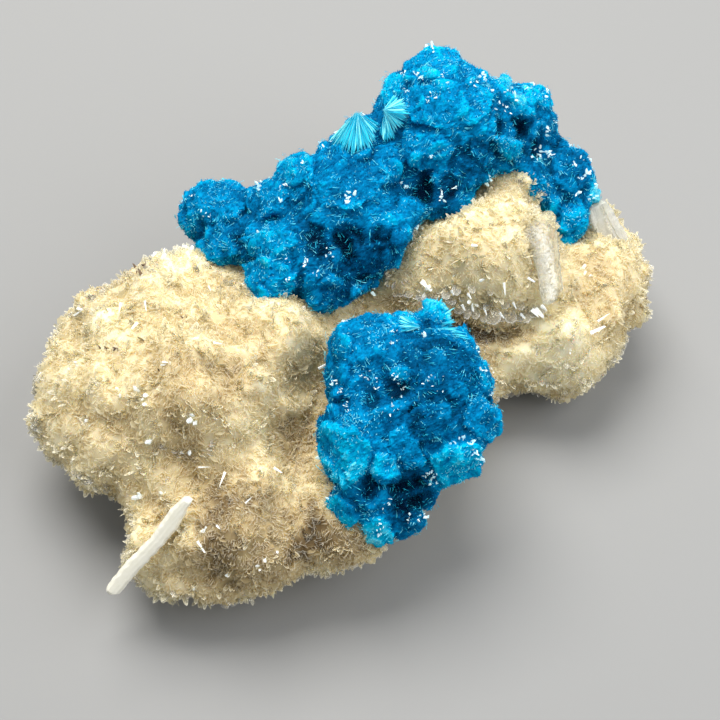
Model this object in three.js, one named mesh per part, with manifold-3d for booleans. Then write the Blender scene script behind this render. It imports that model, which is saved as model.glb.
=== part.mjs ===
// Cavansite on stilbite: a hand-sized mineral specimen, in millimetres, +Z up.
// A cream stilbite crust, grown as a cluster of rounded lobes, rests on a flat broken base at z = 0.
// Two masses of blue cavansite sit on it: a ridge of ball-shaped sprays and a lower front cluster.
// Three larger single crystals are seated in the crust. The origin is the middle of the base.

import * as THREE from "three";
import { mergeVertices } from "three/addons/utils/BufferGeometryUtils.js";
import { ImprovedNoise } from "three/addons/math/ImprovedNoise.js";
import Module from "manifold-3d";

const wasm = await Module();
wasm.setup();

const { seededRandom } = THREE.MathUtils;
const noise = new ImprovedNoise();
const UP = new THREE.Vector3(0, 0, 1);
const GOLDEN_ANGLE = Math.PI * (3 - Math.sqrt(5));

// Driving dimensions
const SEAT_GAP = 0.3; // between two minerals that touch
const BASE_REACH = 140; // side of the block that trims the base flat
const BASE_DEPTH = 30;
const FACE_SHARE = 0.65; // width of a single crystal's flat face over its whole width
const CRUST_SEED = 11;
const RIDGE_SEED = 21;
const CLUSTER_SEED = 31;

// How a mineral's skin looks. facet is the length of a facet's edge, point the height of a crystal point,
// swell how far the skin rises and falls over a lump, and grain how fast it does so.
const DRUSE = { facet: 3.85, point: 1.2, swell: 1.2, grain: 0.17 };
const ROUGH = { facet: 7.5, point: 1, swell: 1.2, grain: 0.17 };
const SPRAY = { facet: 2.5, point: 1, swell: 0.9, grain: 0.3 };

// Blades that stand out of the skin. perArea counts them for each square millimetre of a lump's radius squared.
const STILBITE_BLADES = { perArea: 0.045, width: 2.6, thickness: 0.8, length: 3.8, keepOff: 1.5, lowest: 3 };
const CAVANSITE_BLADES = { perArea: 0.07, width: 1.6, thickness: 0.7, length: 2.6, keepOff: 2.8, lowest: 3 };

// Lumps: the centre, and the radius or the three radii.
const LEFT_LOBE = [
  { at: [-22, -2.5, 12], radii: [18.5, 16.5, 11.5] },
  { at: [-27, 3.5, 15], radii: 9 },
  { at: [-33, -5.5, 12], radii: 8 },
  { at: [-20, -7.5, 15.5], radii: 10.5 },
  { at: [-18.5, 9.5, 14.5], radii: 7 },
  { at: [-31, -13, 9.5], radii: 5.5 },
  { at: [-12, 0.5, 15.5], radii: 9 },
];
const FRONT_LOBE = [
  { at: [-20, -23.5, 9.5], radii: 7 },
  { at: [-12, -23, 10], radii: 8.3 },
  { at: [-2.5, -22, 10.5], radii: 6.5 },
  { at: [-25.5, -24, 9.5], radii: 4.5 },
];
const SADDLE = [
  { at: [-4, 4, 12], radii: 7.5 },
  { at: [4, 8, 11], radii: 7 },
];
const PEAK_LOBE = [
  { at: [16.5, 13.5, 18.5], radii: 9 },
  { at: [19.5, 20, 20.5], radii: 5.5 },
  { at: [8.5, 11, 16.5], radii: 6.5 },
  { at: [22.5, 10.5, 16.5], radii: 5.5 },
];
const RIGHT_LOBE = [
  { at: [33, 13.5, 12.5], radii: 6.5 },
  { at: [27, 6, 10], radii: 8 },
  { at: [21, 4.5, 9], radii: 6.5 },
  { at: [32.5, 21, 11], radii: 6 },
];
const UNDERBODY = [
  { at: [-12, 0, 6], radii: [14, 15, 11] },
  { at: [5, 1, 6], radii: [13, 14, 11] },
  { at: [2, 18, 8], radii: [16, 11, 10] },
  { at: [-15, 16, 9.5], radii: [9, 8, 9] },
  { at: [11, 27, 11], radii: 10 },
  { at: [23, 26, 9], radii: 9 },
  { at: [24, 14, 8.5], radii: [9, 8, 7.5] },
  { at: [-1, -13.5, 8.5], radii: [11, 8.5, 8] },
];
const RIDGE = [
  { at: [-18.5, 19.5, 19.5], radii: 5.2 },
  { at: [-14.5, 14.5, 20], radii: 5.2 },
  { at: [-7.5, 9.5, 23], radii: 6.5 },
  { at: [-5, 6.5, 20.5], radii: 5 },
  { at: [-2.5, 17, 25.5], radii: 7.3 },
  { at: [3.5, 12, 24], radii: 5.8 },
  { at: [12, 27.5, 27.5], radii: 9.2 },
  { at: [10.5, 20.5, 24], radii: 6.5 },
  { at: [19, 30, 25], radii: 6.2 },
  { at: [22.5, 33.5, 21.5], radii: 5.2 },
  { at: [27.5, 25.5, 18], radii: 6 },
];
const FRONT_CLUSTER = [
  { at: [2, -6.5, 21.5], radii: 6.8 },
  { at: [9.5, -8.5, 21.5], radii: 6.8 },
  { at: [1.5, -15, 20], radii: 6.6 },
  { at: [10.5, -13.5, 19], radii: 6 },
  { at: [1.5, -20.5, 16.5], radii: 5.3 },
  { at: [5.5, -22, 15], radii: 4.2 },
];

// Broken sprays that show their fibres: apex, the way the fan opens, its length and its half width.
const RIDGE_FANS = [
  { from: [-1.5, 22, 33], towards: [0.1, -0.75, -0.5], length: 6, halfWidth: 3.2 },
  { from: [3.2, 24, 31.5], towards: [0.5, -0.5, -0.2], length: 5.5, halfWidth: 3 },
];
const CLUSTER_FANS = [
  { from: [4.5, -3.5, 25], towards: [0.9, 0.3, 0.2], length: 5.5, halfWidth: 2.6 },
  { from: [8, -12, 22.5], towards: [0.85, -0.4, -0.1], length: 8.5, halfWidth: 3.4 },
];

// The three single crystals. Outline points are [across, along] from the foot, in the crystal's own plane.
const WHITE_BLADE = {
  outline: [[-0.7, 0], [0.5, 0.2], [1.2, 2], [1.4, 9.5], [1, 13.5], [0.2, 16.8], [-0.4, 16.6], [-1.3, 13], [-1.4, 3]],
  thickness: 1.5,
  foot: [-30.2, -31, 9.5],
  towards: [9.9, 7.3, 9.5],
  facing: [0.3, -0.75, 0.6],
};
const CLEAR_BLADE = {
  outline: [[-1.2, 0], [1, 0.3], [2.3, 2.5], [2.5, 10.5], [1.4, 14.4], [-0.3, 15], [-2.2, 11.5], [-2, 3]],
  thickness: 1.8,
  foot: [24.5, 2.5, 19.5],
  towards: [-2, 12.7, 6],
  facing: [0.55, -0.3, 0.8],
};
const END_CRYSTAL = {
  outline: [[-2.5, 0], [2.5, 0], [2.7, 9.5], [1.4, 11.5], [-1.6, 11.3], [-2.7, 9.8]],
  thickness: 2.6,
  foot: [36.5, 17.5, 9.5],
  towards: [-0.32, 0.5, 0.8],
  facing: [0.4, -0.7, 0.6],
};

const singles = [WHITE_BLADE, CLEAR_BLADE, END_CRYSTAL];
const lobes = [...LEFT_LOBE, ...FRONT_LOBE, ...SADDLE, ...PEAK_LOBE, ...RIGHT_LOBE];
const stilbite = [...lobes, ...UNDERBODY];
const cavansite = [...RIDGE, ...FRONT_CLUSTER];

const centreOf = ({ at }) => new THREE.Vector3(...at);
const radiiOf = ({ radii }) => new THREE.Vector3(...(Array.isArray(radii) ? radii : [radii, radii, radii]));
const between = (low, high) => low + (high - low) * seededRandom();

// A closed geometry with merged vertices becomes a solid.
function solid(geometry) {
  const bare = geometry.clone().deleteAttribute("normal").deleteAttribute("uv");
  const merged = mergeVertices(bare, 1e-4);
  return new wasm.Manifold(
    new wasm.Mesh({
      numProp: 3,
      vertProperties: new Float32Array(merged.attributes.position.array),
      triVerts: new Uint32Array(merged.index.array),
    }),
  );
}

function union(solids) {
  return solids.reduce((whole, next) => whole.add(next));
}

// The largest body of a solid, without the chips that a cut leaves loose.
function largestBody(made) {
  return made.decompose().reduce((best, body) => (body.volume() > best.volume() ? body : best));
}

// The vertices beside each vertex of an indexed geometry.
function neighbours(geometry) {
  const around = Array.from({ length: geometry.attributes.position.count }, () => new Set());
  const index = geometry.index.array;
  for (let i = 0; i < index.length; i += 3) {
    const corners = [index[i], index[i + 1], index[i + 2]];
    corners.forEach((a) => corners.forEach((b) => a !== b && around[a].add(b)));
  }
  return around;
}

// Picks the vertices that are crystal points, none beside another, in a random order.
function crystalPoints(geometry) {
  const around = neighbours(geometry);
  const order = around.map((_, i) => ({ i, rank: seededRandom() })).sort((a, b) => a.rank - b.rank);
  const points = new Set();
  for (const { i } of order) {
    if (![...around[i]].some((j) => points.has(j))) points.add(i);
  }
  return points;
}

// A lump is clear of a place when the place lies outside it by more than margin.
function isClear(place, lumps, margin) {
  return lumps.every((lump) => {
    const reach = radiiOf(lump).addScalar(margin);
    return place.clone().sub(centreOf(lump)).divide(reach).length() > 1;
  });
}

// A rounded lump with a faceted skin of crystal points. grow moves the skin out. Where another mineral,
// in others, lies against it, the skin has no points.
function lumpSolid(lump, skin, others = [], grow = 0) {
  const centre = centreOf(lump);
  const radii = radiiOf(lump);
  const steps = Math.max(2, Math.round((1.15 * Math.max(...radii.toArray())) / skin.facet));
  const ball = new THREE.IcosahedronGeometry(1, steps - 1).deleteAttribute("normal").deleteAttribute("uv");
  const geometry = mergeVertices(ball, 1e-4);
  const points = crystalPoints(geometry);
  const position = geometry.attributes.position;
  for (let i = 0; i < position.count; i++) {
    const outward = new THREE.Vector3().fromBufferAttribute(position, i).normalize();
    const place = outward.clone().multiply(radii).add(centre);
    const normal = outward.divide(radii).normalize();
    const swell = skin.swell * noise.noise(...place.clone().multiplyScalar(skin.grain).toArray());
    const slide = 0.2 * skin.facet;
    const lean = new THREE.Vector3(between(-slide, slide), between(-slide, slide), between(-slide, slide));
    const height = points.has(i) ? skin.point * between(0.6, 1.4) : 0;
    if (isClear(place, others, skin.point)) place.add(lean).addScaledVector(normal, height);
    place.addScaledVector(normal, swell + grow);
    position.setXYZ(i, place.x, place.y, place.z);
  }
  return solid(geometry);
}

// A flat crystal along +Z with a roof-shaped end, its foot at the origin.
function bladeGeometry(width, thickness, length) {
  const half = width / 2;
  const shoulder = length - 0.7 * half;
  const outline = new THREE.Shape();
  outline.moveTo(-half, 0);
  outline.lineTo(half, 0);
  outline.lineTo(half, shoulder);
  outline.lineTo(0.15 * half, length);
  outline.lineTo(-half, shoulder - 0.2 * half);
  const flat = new THREE.ExtrudeGeometry(outline, { depth: thickness, bevelEnabled: false });
  return flat.translate(0, 0, -thickness / 2).rotateX(Math.PI / 2);
}

// Turns a geometry that points along +Z to point along direction, spun about it, with its foot at foot.
function placed(geometry, foot, direction, spin) {
  const turn = new THREE.Quaternion().setFromUnitVectors(UP, direction.clone().normalize());
  return geometry.rotateZ(spin).applyQuaternion(turn).translate(foot.x, foot.y, foot.z);
}

// An even spread of directions over a ball.
function spread(i, count) {
  const height = 1 - (2 * i + 1) / count;
  const ring = Math.sqrt(1 - height * height);
  return new THREE.Vector3(ring * Math.cos(i * GOLDEN_ANGLE), ring * Math.sin(i * GOLDEN_ANGLE), height);
}

// Crystal blades that stand out of the lumps' skin, away from the other mineral.
function blades(lumps, others, { perArea, width, thickness, length, keepOff, lowest }) {
  const found = [];
  for (const lump of lumps) {
    const radii = radiiOf(lump);
    const count = Math.round(perArea * radii.x * radii.y);
    const rest = lumps.filter((other) => other !== lump);
    for (let i = 0; i < count; i++) {
      const jitter = new THREE.Vector3(between(-0.2, 0.2), between(-0.2, 0.2), 0);
      const outward = spread(i, count).add(jitter).normalize();
      const foot = outward.clone().multiply(radii).add(centreOf(lump));
      const size = between(0.75, 1.25);
      const spin = between(0, Math.PI);
      if (foot.z < lowest || !isClear(foot, rest, 0.2) || !isClear(foot, others, keepOff)) continue;
      const made = bladeGeometry(width * size, thickness, length * size);
      foot.addScaledVector(outward, -0.4 * length);
      found.push(solid(placed(made, foot, outward, spin)));
    }
  }
  return found;
}

// A broken spray: a flattened cone of fibres from its apex to a rough rim.
function fanSolid({ from, towards, length, halfWidth }) {
  const cone = new THREE.ConeGeometry(halfWidth, length, 9, 1).rotateX(-Math.PI / 2);
  cone.scale(1, 0.6, 1).translate(0, 0, length / 2);
  return solid(placed(cone, new THREE.Vector3(...from), new THREE.Vector3(...towards), 0.4));
}

// A single crystal: its outline lies in the plane that faces the facing direction, and is
// thickest round the rim. grow moves every face out.
function singleCrystal({ outline, thickness, foot, towards, facing }, grow = 0) {
  const shape = new THREE.Shape(outline.map(([x, z]) => new THREE.Vector2(x, z)));
  const geometry = new THREE.ExtrudeGeometry(shape, { depth: 2, steps: 2, bevelEnabled: false });
  geometry.translate(0, 0, -1);
  const middle = Math.max(...outline.map(([, z]) => z)) / 2;
  const position = geometry.attributes.position;
  for (let i = 0; i < position.count; i++) {
    const layer = Math.round(position.getZ(i)); // -1 and 1 on the two flat faces, 0 round the rim
    const inset = layer === 0 ? 1 : FACE_SHARE;
    const across = position.getX(i) * inset;
    const along = (position.getY(i) - middle) * (1 - 0.2 * (1 - inset)); // the ends are chiselled less
    position.setXYZ(
      i,
      across + Math.sign(across) * grow,
      middle + along + Math.sign(along) * grow,
      layer * (thickness / 2 + grow),
    );
  }
  const length = new THREE.Vector3(...towards).normalize();
  const width = length.clone().cross(new THREE.Vector3(...facing)).normalize();
  const face = width.clone().cross(length);
  const frame = new THREE.Matrix4().makeBasis(width, length, face).setPosition(...foot);
  return solid(geometry.applyMatrix4(frame));
}

// The crust's lumps as one solid, with its skin moved out by grow.
function crustSkin(grow = 0) {
  seededRandom(CRUST_SEED);
  const skins = lobes.map((lobe) => lumpSolid(lobe, DRUSE, cavansite, grow));
  const under = UNDERBODY.map((lobe) => lumpSolid(lobe, ROUGH, cavansite, grow));
  return union([...skins, ...under]);
}

function stilbiteCrust(sockets) {
  const skin = crustSkin();
  const stand = blades(lobes, [...cavansite, ...UNDERBODY], STILBITE_BLADES);
  const block = new THREE.BoxGeometry(BASE_REACH, BASE_REACH, BASE_DEPTH);
  const base = solid(block.translate(0, 0, -BASE_DEPTH / 2));
  return largestBody(union([skin, ...stand]).subtract(base).subtract(sockets));
}

// A mass of cavansite balls and broken sprays, cut to sit on the crust and round the single crystals.
function cavansiteMass(balls, fans, seed, seat) {
  seededRandom(seed);
  const skins = balls.map((ball) => lumpSolid(ball, SPRAY));
  const stand = blades(balls, stilbite, CAVANSITE_BLADES);
  return largestBody(union([...skins, ...stand, ...fans.map(fanSolid)]).subtract(seat));
}

// A solid as a named mesh with flat facets.
function named(name, made, color, roughness) {
  const { numProp, vertProperties, triVerts } = made.getMesh();
  const count = vertProperties.length / numProp;
  const points = new Float32Array(count * 3);
  for (let i = 0; i < count; i++) points.set(vertProperties.subarray(i * numProp, i * numProp + 3), i * 3);
  const geometry = new THREE.BufferGeometry();
  geometry.setAttribute("position", new THREE.BufferAttribute(points, 3));
  geometry.setIndex(new THREE.BufferAttribute(triVerts, 1));
  const material = new THREE.MeshStandardMaterial({ color, roughness, metalness: 0, flatShading: true });
  const mesh = new THREE.Mesh(geometry, material);
  mesh.name = name;
  return mesh;
}

const sockets = union(singles.map((single) => singleCrystal(single, SEAT_GAP)));
const seat = crustSkin(SEAT_GAP).add(sockets);
const specimen = new THREE.Group();
specimen.add(
  named("stilbite_crust", stilbiteCrust(sockets), 0xd9c79a, 0.45),
  named("cavansite_ridge", cavansiteMass(RIDGE, RIDGE_FANS, RIDGE_SEED, seat), 0x0a74b8, 0.35),
  named("cavansite_cluster", cavansiteMass(FRONT_CLUSTER, CLUSTER_FANS, CLUSTER_SEED, seat), 0x0a74b8, 0.35),
  named("white_stilbite_blade", singleCrystal(WHITE_BLADE), 0xe6e3d6, 0.35),
  named("clear_stilbite_blade", singleCrystal(CLEAR_BLADE), 0xe9eaea, 0.15),
  named("clear_end_crystal", singleCrystal(END_CRYSTAL), 0xe9eaea, 0.15),
);

export default specimen;
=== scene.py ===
"""Cavansite on stilbite: the looks of a hand-sized mineral specimen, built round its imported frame.

Each mass of the frame gets a rounded skin, remeshed from its own node, and crystals that grow out of that
skin: thin plates, fine strands and half-clear leaves on the stilbite, and short grains, fibres and threads on
the cavansite. The three single crystals are made from outlines. Places are given in pixels of the photograph
where a feature is seen there. Lengths are in metres.
"""

import math

import bmesh
import bpy
import numpy as np
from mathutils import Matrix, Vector, noise
from mathutils.bvhtree import BVHTree


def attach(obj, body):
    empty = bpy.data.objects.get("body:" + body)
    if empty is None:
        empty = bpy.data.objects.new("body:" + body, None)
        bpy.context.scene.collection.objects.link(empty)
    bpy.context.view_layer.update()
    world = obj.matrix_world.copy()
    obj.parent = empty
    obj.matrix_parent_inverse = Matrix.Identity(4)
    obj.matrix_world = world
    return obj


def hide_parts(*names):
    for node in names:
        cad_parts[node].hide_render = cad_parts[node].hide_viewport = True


MM = 0.001

# The camera, as the photograph was taken. Its picture is PHOTO_SIDE pixels square.
PHOTO_SIDE = 720
FOCAL_PIXELS = 1471
SENSOR_MM = 36
ELEVATION = math.radians(55)
DISTANCE = 190 * MM
TARGET = Vector((0, 0, 14 * MM))
AHEAD = Vector((0, math.cos(ELEVATION), -math.sin(ELEVATION)))
UPWARD = Vector((0, math.sin(ELEVATION), math.cos(ELEVATION)))
RIGHTWARD = Vector((1, 0, 0))
EYE = TARGET - DISTANCE * AHEAD
EYE_PLACE = np.array(EYE)
PIXEL = 0.129 * MM  # what a pixel spans on the specimen

MAP = "OFBake"  # each crystal's map holds its tone across and its height up
MAP_MARGIN = 0.002  # how far the tones and heights stay from the edges of the map
STILBITE_DRAWS = 2026  # the seed of the random draws on the stilbite

# Chunks of the cavansite: the outline as seen in the photograph, the rise in mm and a tone. Tones here and
# below are what a place adds to the tone of its mass.
# A chunk's tone is partly its own colour and partly painted light and shade: darker on slopes that face away
# from the light, lighter on lit faces.
CLUSTER_CHUNKS = [
    ([(334, 320), (352, 312), (378, 309), (394, 318), (397, 338), (386, 356), (366, 366), (345, 364),
      (328, 352)], 1.0, 0.05),
    ([(328, 356), (350, 358), (364, 372), (360, 388), (350, 398), (338, 397), (328, 385), (325, 370)],
      0.7, 0.04),
    ([(392, 312), (405, 313), (414, 320), (416, 330), (402, 334), (392, 328)], 0.6, 0.20),
    ([(417, 322), (425, 308), (437, 304), (448, 307), (453, 320), (445, 326), (430, 327)], 1.1, 0.28),
    ([(425, 332), (443, 333), (460, 338), (472, 346), (470, 355), (450, 345), (432, 336)], 0.7, 0.05),
    ([(400, 340), (430, 338), (460, 350), (475, 360), (470, 380), (445, 392), (420, 385), (410, 365)],
      0.2, -0.12),
    ([(388, 378), (392, 370), (404, 367), (410, 374), (408, 382), (398, 380)], 0.9, 0.20),
    ([(472, 365), (482, 360), (489, 368), (490, 385), (488, 398), (480, 392), (475, 378)], 0.8, 0.12),
    ([(462, 398), (478, 396), (492, 404), (499, 418), (496, 432), (486, 443), (472, 436), (460, 425)],
      1.0, 0.04),
    ([(402, 420), (425, 402), (448, 405), (455, 425), (440, 438), (420, 440)], 0.5, -0.04),
    ([(321, 428), (334, 420), (352, 432), (366, 432), (378, 448), (370, 470), (358, 486), (340, 482),
      (328, 470)], 1.5, 0.22),
    ([(376, 452), (392, 456), (398, 470), (396, 482), (380, 484), (368, 472)], 1.0, 0.12),
    ([(388, 430), (402, 424), (416, 440), (420, 462), (408, 470), (394, 455), (385, 442)], 0.9, 0.06),
    ([(426, 450), (440, 442), (462, 436), (474, 440), (482, 460), (468, 470), (450, 478), (432, 474)],
      1.6, 0.24),
    ([(420, 478), (436, 478), (452, 482), (444, 494), (430, 490)], 0.8, 0.10),
    ([(328, 498), (340, 492), (356, 505), (360, 518), (350, 529), (340, 528), (332, 514)], 0.9, 0.20),
    ([(362, 520), (378, 512), (390, 522), (392, 536), (378, 543), (366, 538)], 0.9, 0.24),
    ([(398, 515), (418, 508), (426, 515), (415, 530), (400, 538), (392, 528)], 0.6, -0.02),
]
RIDGE_CHUNKS = [
    ([(186, 200), (200, 184), (226, 177), (240, 184), (250, 190), (248, 206), (238, 222), (215, 228)],
      0.9, 0.04),
    ([(198, 240), (214, 232), (232, 236), (240, 252), (225, 266), (212, 258)], 0.7, 0.02),
    ([(245, 192), (262, 186), (278, 180), (290, 196), (284, 214), (262, 222), (250, 212)], 0.7, 0.0),
    ([(277, 168), (290, 154), (306, 152), (316, 164), (314, 182), (296, 190), (280, 184)], 0.9, 0.10),
    ([(240, 240), (268, 232), (296, 232), (300, 246), (280, 256), (255, 258)], 0.8, 0.08),
    ([(244, 262), (268, 256), (292, 264), (298, 286), (282, 302), (262, 300), (250, 284)], 0.9, 0.04),
    ([(318, 150), (345, 145), (372, 150), (384, 170), (376, 200), (350, 214), (322, 206), (308, 186)],
      0.9, 0.0),
    ([(304, 200), (325, 205), (345, 222), (330, 232), (310, 222)], 0.4, -0.02),
    ([(304, 272), (322, 268), (342, 276), (350, 292), (338, 306), (316, 308), (302, 292)], 0.8, -0.06),
    ([(352, 246), (376, 242), (388, 262), (380, 278), (362, 280), (350, 264)], 0.5, -0.14),
    ([(392, 230), (408, 226), (416, 238), (408, 252), (396, 256), (388, 244)], 0.6, 0.0),
    ([(398, 196), (416, 198), (424, 212), (412, 226), (398, 222)], 0.6, -0.04),
    ([(366, 148), (396, 142), (404, 160), (398, 184), (380, 186), (368, 168)], 0.5, 0.02),
    ([(384, 78), (395, 72), (404, 78), (400, 98), (390, 110), (382, 98)], 0.5, 0.18),
    ([(402, 68), (418, 52), (436, 46), (455, 48), (460, 62), (458, 78), (430, 84), (406, 84)], 0.9, 0.14),
    ([(460, 62), (478, 62), (490, 72), (484, 84), (466, 82)], 0.5, 0.04),
    ([(404, 92), (440, 84), (476, 84), (494, 98), (490, 116), (474, 128), (440, 132), (410, 124)],
      1.0, 0.10),
    ([(404, 130), (440, 136), (456, 150), (446, 166), (420, 172), (402, 156)], 0.6, 0.04),
    ([(458, 156), (484, 150), (500, 160), (496, 180), (470, 188), (452, 176)], 0.4, -0.14),
    ([(488, 136), (504, 135), (516, 142), (512, 154), (502, 160), (494, 150)], 1.3, 0.06),
    ([(494, 84), (502, 78), (509, 84), (508, 94), (498, 96)], 0.7, 0.20),
    ([(506, 100), (520, 96), (526, 104), (522, 116), (512, 118)], 0.6, 0.12),
    ([(520, 90), (536, 84), (552, 92), (556, 104), (546, 112), (528, 106)], 0.8, 0.12),
    ([(540, 116), (556, 112), (558, 134), (552, 146), (540, 140)], 0.6, -0.06),
    ([(510, 156), (530, 156), (544, 168), (536, 182), (518, 176)], 0.4, -0.10),
    ([(556, 150), (576, 150), (590, 164), (588, 186), (570, 196), (554, 184), (550, 166)], 0.8, -0.10),
    ([(588, 184), (596, 186), (601, 198), (594, 204), (586, 196)], 0.7, 0.24),
    ([(560, 206), (580, 200), (590, 214), (586, 230), (570, 238), (558, 226)], 0.6, 0.0),
    ([(424, 208), (446, 200), (468, 204), (462, 216), (436, 218)], 0.2, -0.20),
]

# Hollows of the cavansite, as (x, y, radius in pixels, depth in mm, tone). A depth below 0 is a bump.
# A tone below 0 is painted shade in the hollow.
CLUSTER_HOLLOWS = [
    (395, 391, 11, 0.35, -0.20), (374, 398, 12, 0.5, -0.18), (415, 415, 9, 0.7, -0.24),
    (414, 493, 22, 1.8, -0.40), (372, 484, 10, 0.8, -0.26), (330, 486, 8, 0.8, -0.20),
    (360, 498, 14, 0.6, -0.14), (492, 366, 14, 1.0, 0.0), (494, 450, 14, 1.0, 0.0),
    (470, 486, 16, 1.4, 0.0), (402, 506, 13, 0.7, -0.24), (428, 500, 12, 0.6, -0.26),
    (386, 478, 9, 0.5, -0.14),
]
RIDGE_HOLLOWS = [
    (424, 189, 14, 1.0, -0.36), (446, 188, 14, 0.7, -0.26), (350, 240, 17, 0.6, -0.30),
    (318, 248, 17, 0.6, -0.28), (384, 238, 17, 0.7, -0.28), (334, 246, 14, 0.4, -0.16),
    (300, 226, 14, 0.4, -0.14), (524, 125, 14, 1.4, -0.36), (500, 126, 10, 0.7, -0.20),
    (536, 146, 12, 0.7, -0.22), (560, 140, 10, 0.4, -0.16), (238, 228, 12, 0.6, -0.14),
    (246, 244, 12, 0.5, -0.14), (570, 202, 8, 0.4, -0.10), (606, 172, 18, 1.2, 0.0),
    (388, 76, 12, 0.8, 0.0), (517, 80, 12, 0.8, 0.0), (362, 108, 10, 0.8, 0.0), (576, 192, 18, 0.0, -0.06),
    (535, 128, 16, 0.0, -0.04), (174, 216, 14, 0.8, 0.0), (450, 54, 12, -0.9, 0.0),
    (580, 148, 12, -0.8, 0.0), (320, 146, 10, -0.8, 0.0), (232, 180, 12, -0.7, 0.0),
]

# Lumps that fill out each mass, as (x, y, height of the centre in mm, radius in mm).
CRUST_LUMPS = [
    (166, 576, 6.5, 3.4), (418, 264, 20.5, 3.4), (400, 286, 18, 3.2), (434, 248, 22, 3.2),
    (638, 314, 11, 2.4), (47, 420, 12, 2.4),
]
RIDGE_LUMPS = [
    (432, 84, 31.5, 5.2), (408, 94, 31, 4.2), (396, 98, 30, 2.8), (362, 142, 29, 3.8), (386, 124, 29, 3.6),
    (300, 174, 25, 3.4), (272, 198, 23, 3.0), (212, 206, 19.5, 4.0), (192, 222, 19, 2.8),
    (535, 108, 26, 3.6), (506, 94, 27, 2.8), (268, 286, 22.5, 3.2), (276, 294, 20.5, 2.8),
    (318, 298, 19.5, 3.0), (222, 252, 21, 2.8), (456, 206, 26, 2.6), (528, 184, 23, 3.4),
    (572, 222, 19.5, 3.2),
]
CLUSTER_LUMPS = [
    (400, 324, 23.5, 2.4), (434, 320, 23.5, 2.6), (350, 510, 15, 3.2), (374, 526, 13.5, 2.8),
    (336, 490, 14.5, 2.2),
]

# Spots of the stilbite, as (x, y, radius in pixels, rise in mm, tone): its hollows and bumps, and places
# made darker or lighter. The tones are mostly painted shade and light: darker in hollows, under the peak's
# overhang and over the front lobe, lighter on the right lobe and the upper left; a few are the crust's own
# browner colour.
CRUST_SPOTS = [
    (536, 192, 18, -1.8, 0.0), (456, 206, 20, -2.0, 0.0), (118, 534, 18, -2.0, 0.0),
    (104, 504, 18, -1.8, 0.0), (516, 402, 26, -1.6, 0.0), (300, 588, 26, -0.9, -0.10),
    (345, 580, 16, -0.7, -0.10), (215, 594, 24, 1.2, -0.06), (180, 588, 14, 0.8, -0.06),
    (68, 320, 18, 1.2, 0.0), (74, 304, 12, 0.8, 0.0), (44, 374, 16, 0.6, 0.0), (26, 414, 14, -1.0, 0.0),
    (50, 450, 16, 1.0, 0.0), (130, 276, 18, -0.7, 0.0), (181, 250, 12, 0.9, 0.10),
    (652, 290, 22, -1.0, 0.0), (636, 328, 14, -0.9, 0.0), (612, 372, 16, -0.7, 0.0),
    (180, 448, 22, -0.6, -0.10), (240, 385, 26, -0.6, -0.10), (300, 380, 34, -0.4, 0.0),
    (300, 440, 26, -0.8, -0.16), (230, 470, 30, 0.2, 0.0), (250, 550, 60, 0.2, -0.30),
    (340, 540, 36, 0.0, -0.32), (620, 290, 50, 0.0, -0.10), (110, 350, 46, 0.3, 0.06),
    (180, 262, 26, 0.3, 0.10), (400, 300, 16, 0.0, -0.10), (454, 322, 9, -0.9, -0.20),
    (465, 330, 10, -1.2, -0.30), (478, 336, 9, -1.1, -0.28), (492, 338, 8, -0.9, -0.20),
    (505, 338, 8, -0.8, -0.18), (518, 336, 8, -0.7, -0.14), (530, 333, 7, -0.5, -0.10),
    (190, 380, 48, 0.0, -0.12), (210, 520, 34, 0.0, -0.10), (555, 352, 44, 0.0, 0.16),
    (500, 375, 24, 0.0, 0.06), (560, 395, 24, 0.0, -0.08),
]

# Small shifts of each mass across the picture, as (x, y, reach, right, down) in pixels.
CRUST_NUDGES = [
    (112, 285, 34, 2, 4), (26, 415, 26, -8, 0), (40, 452, 22, -5, 3), (110, 500, 26, 3, -8),
    (110, 543, 26, 14, 0), (270, 600, 26, 0, -6), (350, 575, 30, 0, -8), (525, 402, 38, 0, -5),
    (602, 380, 28, -4, -4), (652, 315, 26, -8, -1), (626, 214, 24, -5, 8), (480, 192, 26, 4, 6),
    (540, 204, 18, -5, 3),
]
RIDGE_NUDGES = [
    (330, 126, 15, 4, 5), (418, 252, 34, -18, -14), (432, 224, 26, -8, -6), (388, 278, 26, -6, -4),
    (346, 308, 24, -4, -6), (268, 300, 32, 0, 9), (312, 304, 20, 2, 7), (168, 225, 26, 8, 0),
    (208, 178, 22, 0, 4), (284, 150, 20, 3, 4), (256, 182, 18, 0, 4), (566, 104, 26, -10, 0),
    (612, 187, 24, -18, 0), (588, 146, 20, -5, 4), (408, 58, 26, 3, 4), (558, 238, 20, -3, 6),
]
CLUSTER_NUDGES = [
    (317, 370, 30, 6, 0), (494, 366, 28, -8, 0), (504, 410, 20, -4, 0), (486, 470, 26, -7, -6),
    (446, 510, 34, -20, -5), (398, 300, 22, 0, 11), (340, 316, 24, -4, -6), (324, 492, 20, -8, 0),
    (328, 516, 18, 6, 0),
]

# Fans of fibres: where they spring from, where they end, how many there are, their lift in mm and their own
# tone.
RIDGE_FANS = [
    ((357, 113), [(331, 143), (342, 150), (356, 153), (370, 147), (380, 128)], 190, 0.6, 0.90),
    ((357, 113), [(331, 143), (334, 145)], 14, 0.9, 1.05),
    ((356, 113), [(350, 148), (362, 146)], 12, 0.9, 1.02),
    ((384, 110), [(394, 96), (404, 100), (409, 112), (402, 126), (391, 138)], 110, 0.8, 0.94),
    ((384, 118), [(378, 132), (386, 142), (394, 138)], 40, 0.5, 0.86),
]
CLUSTER_FANS = [
    ((423, 328), [(424, 312), (432, 304), (442, 303), (450, 308), (454, 318), (450, 326)], 110, 1.3, 0.84),
    ((425, 331), [(446, 329), (462, 334), (468, 342)], 40, 0.7, 0.66),
    ((420, 327), [(404, 316), (397, 322), (402, 332)], 40, 0.6, 0.80),
]

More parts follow.
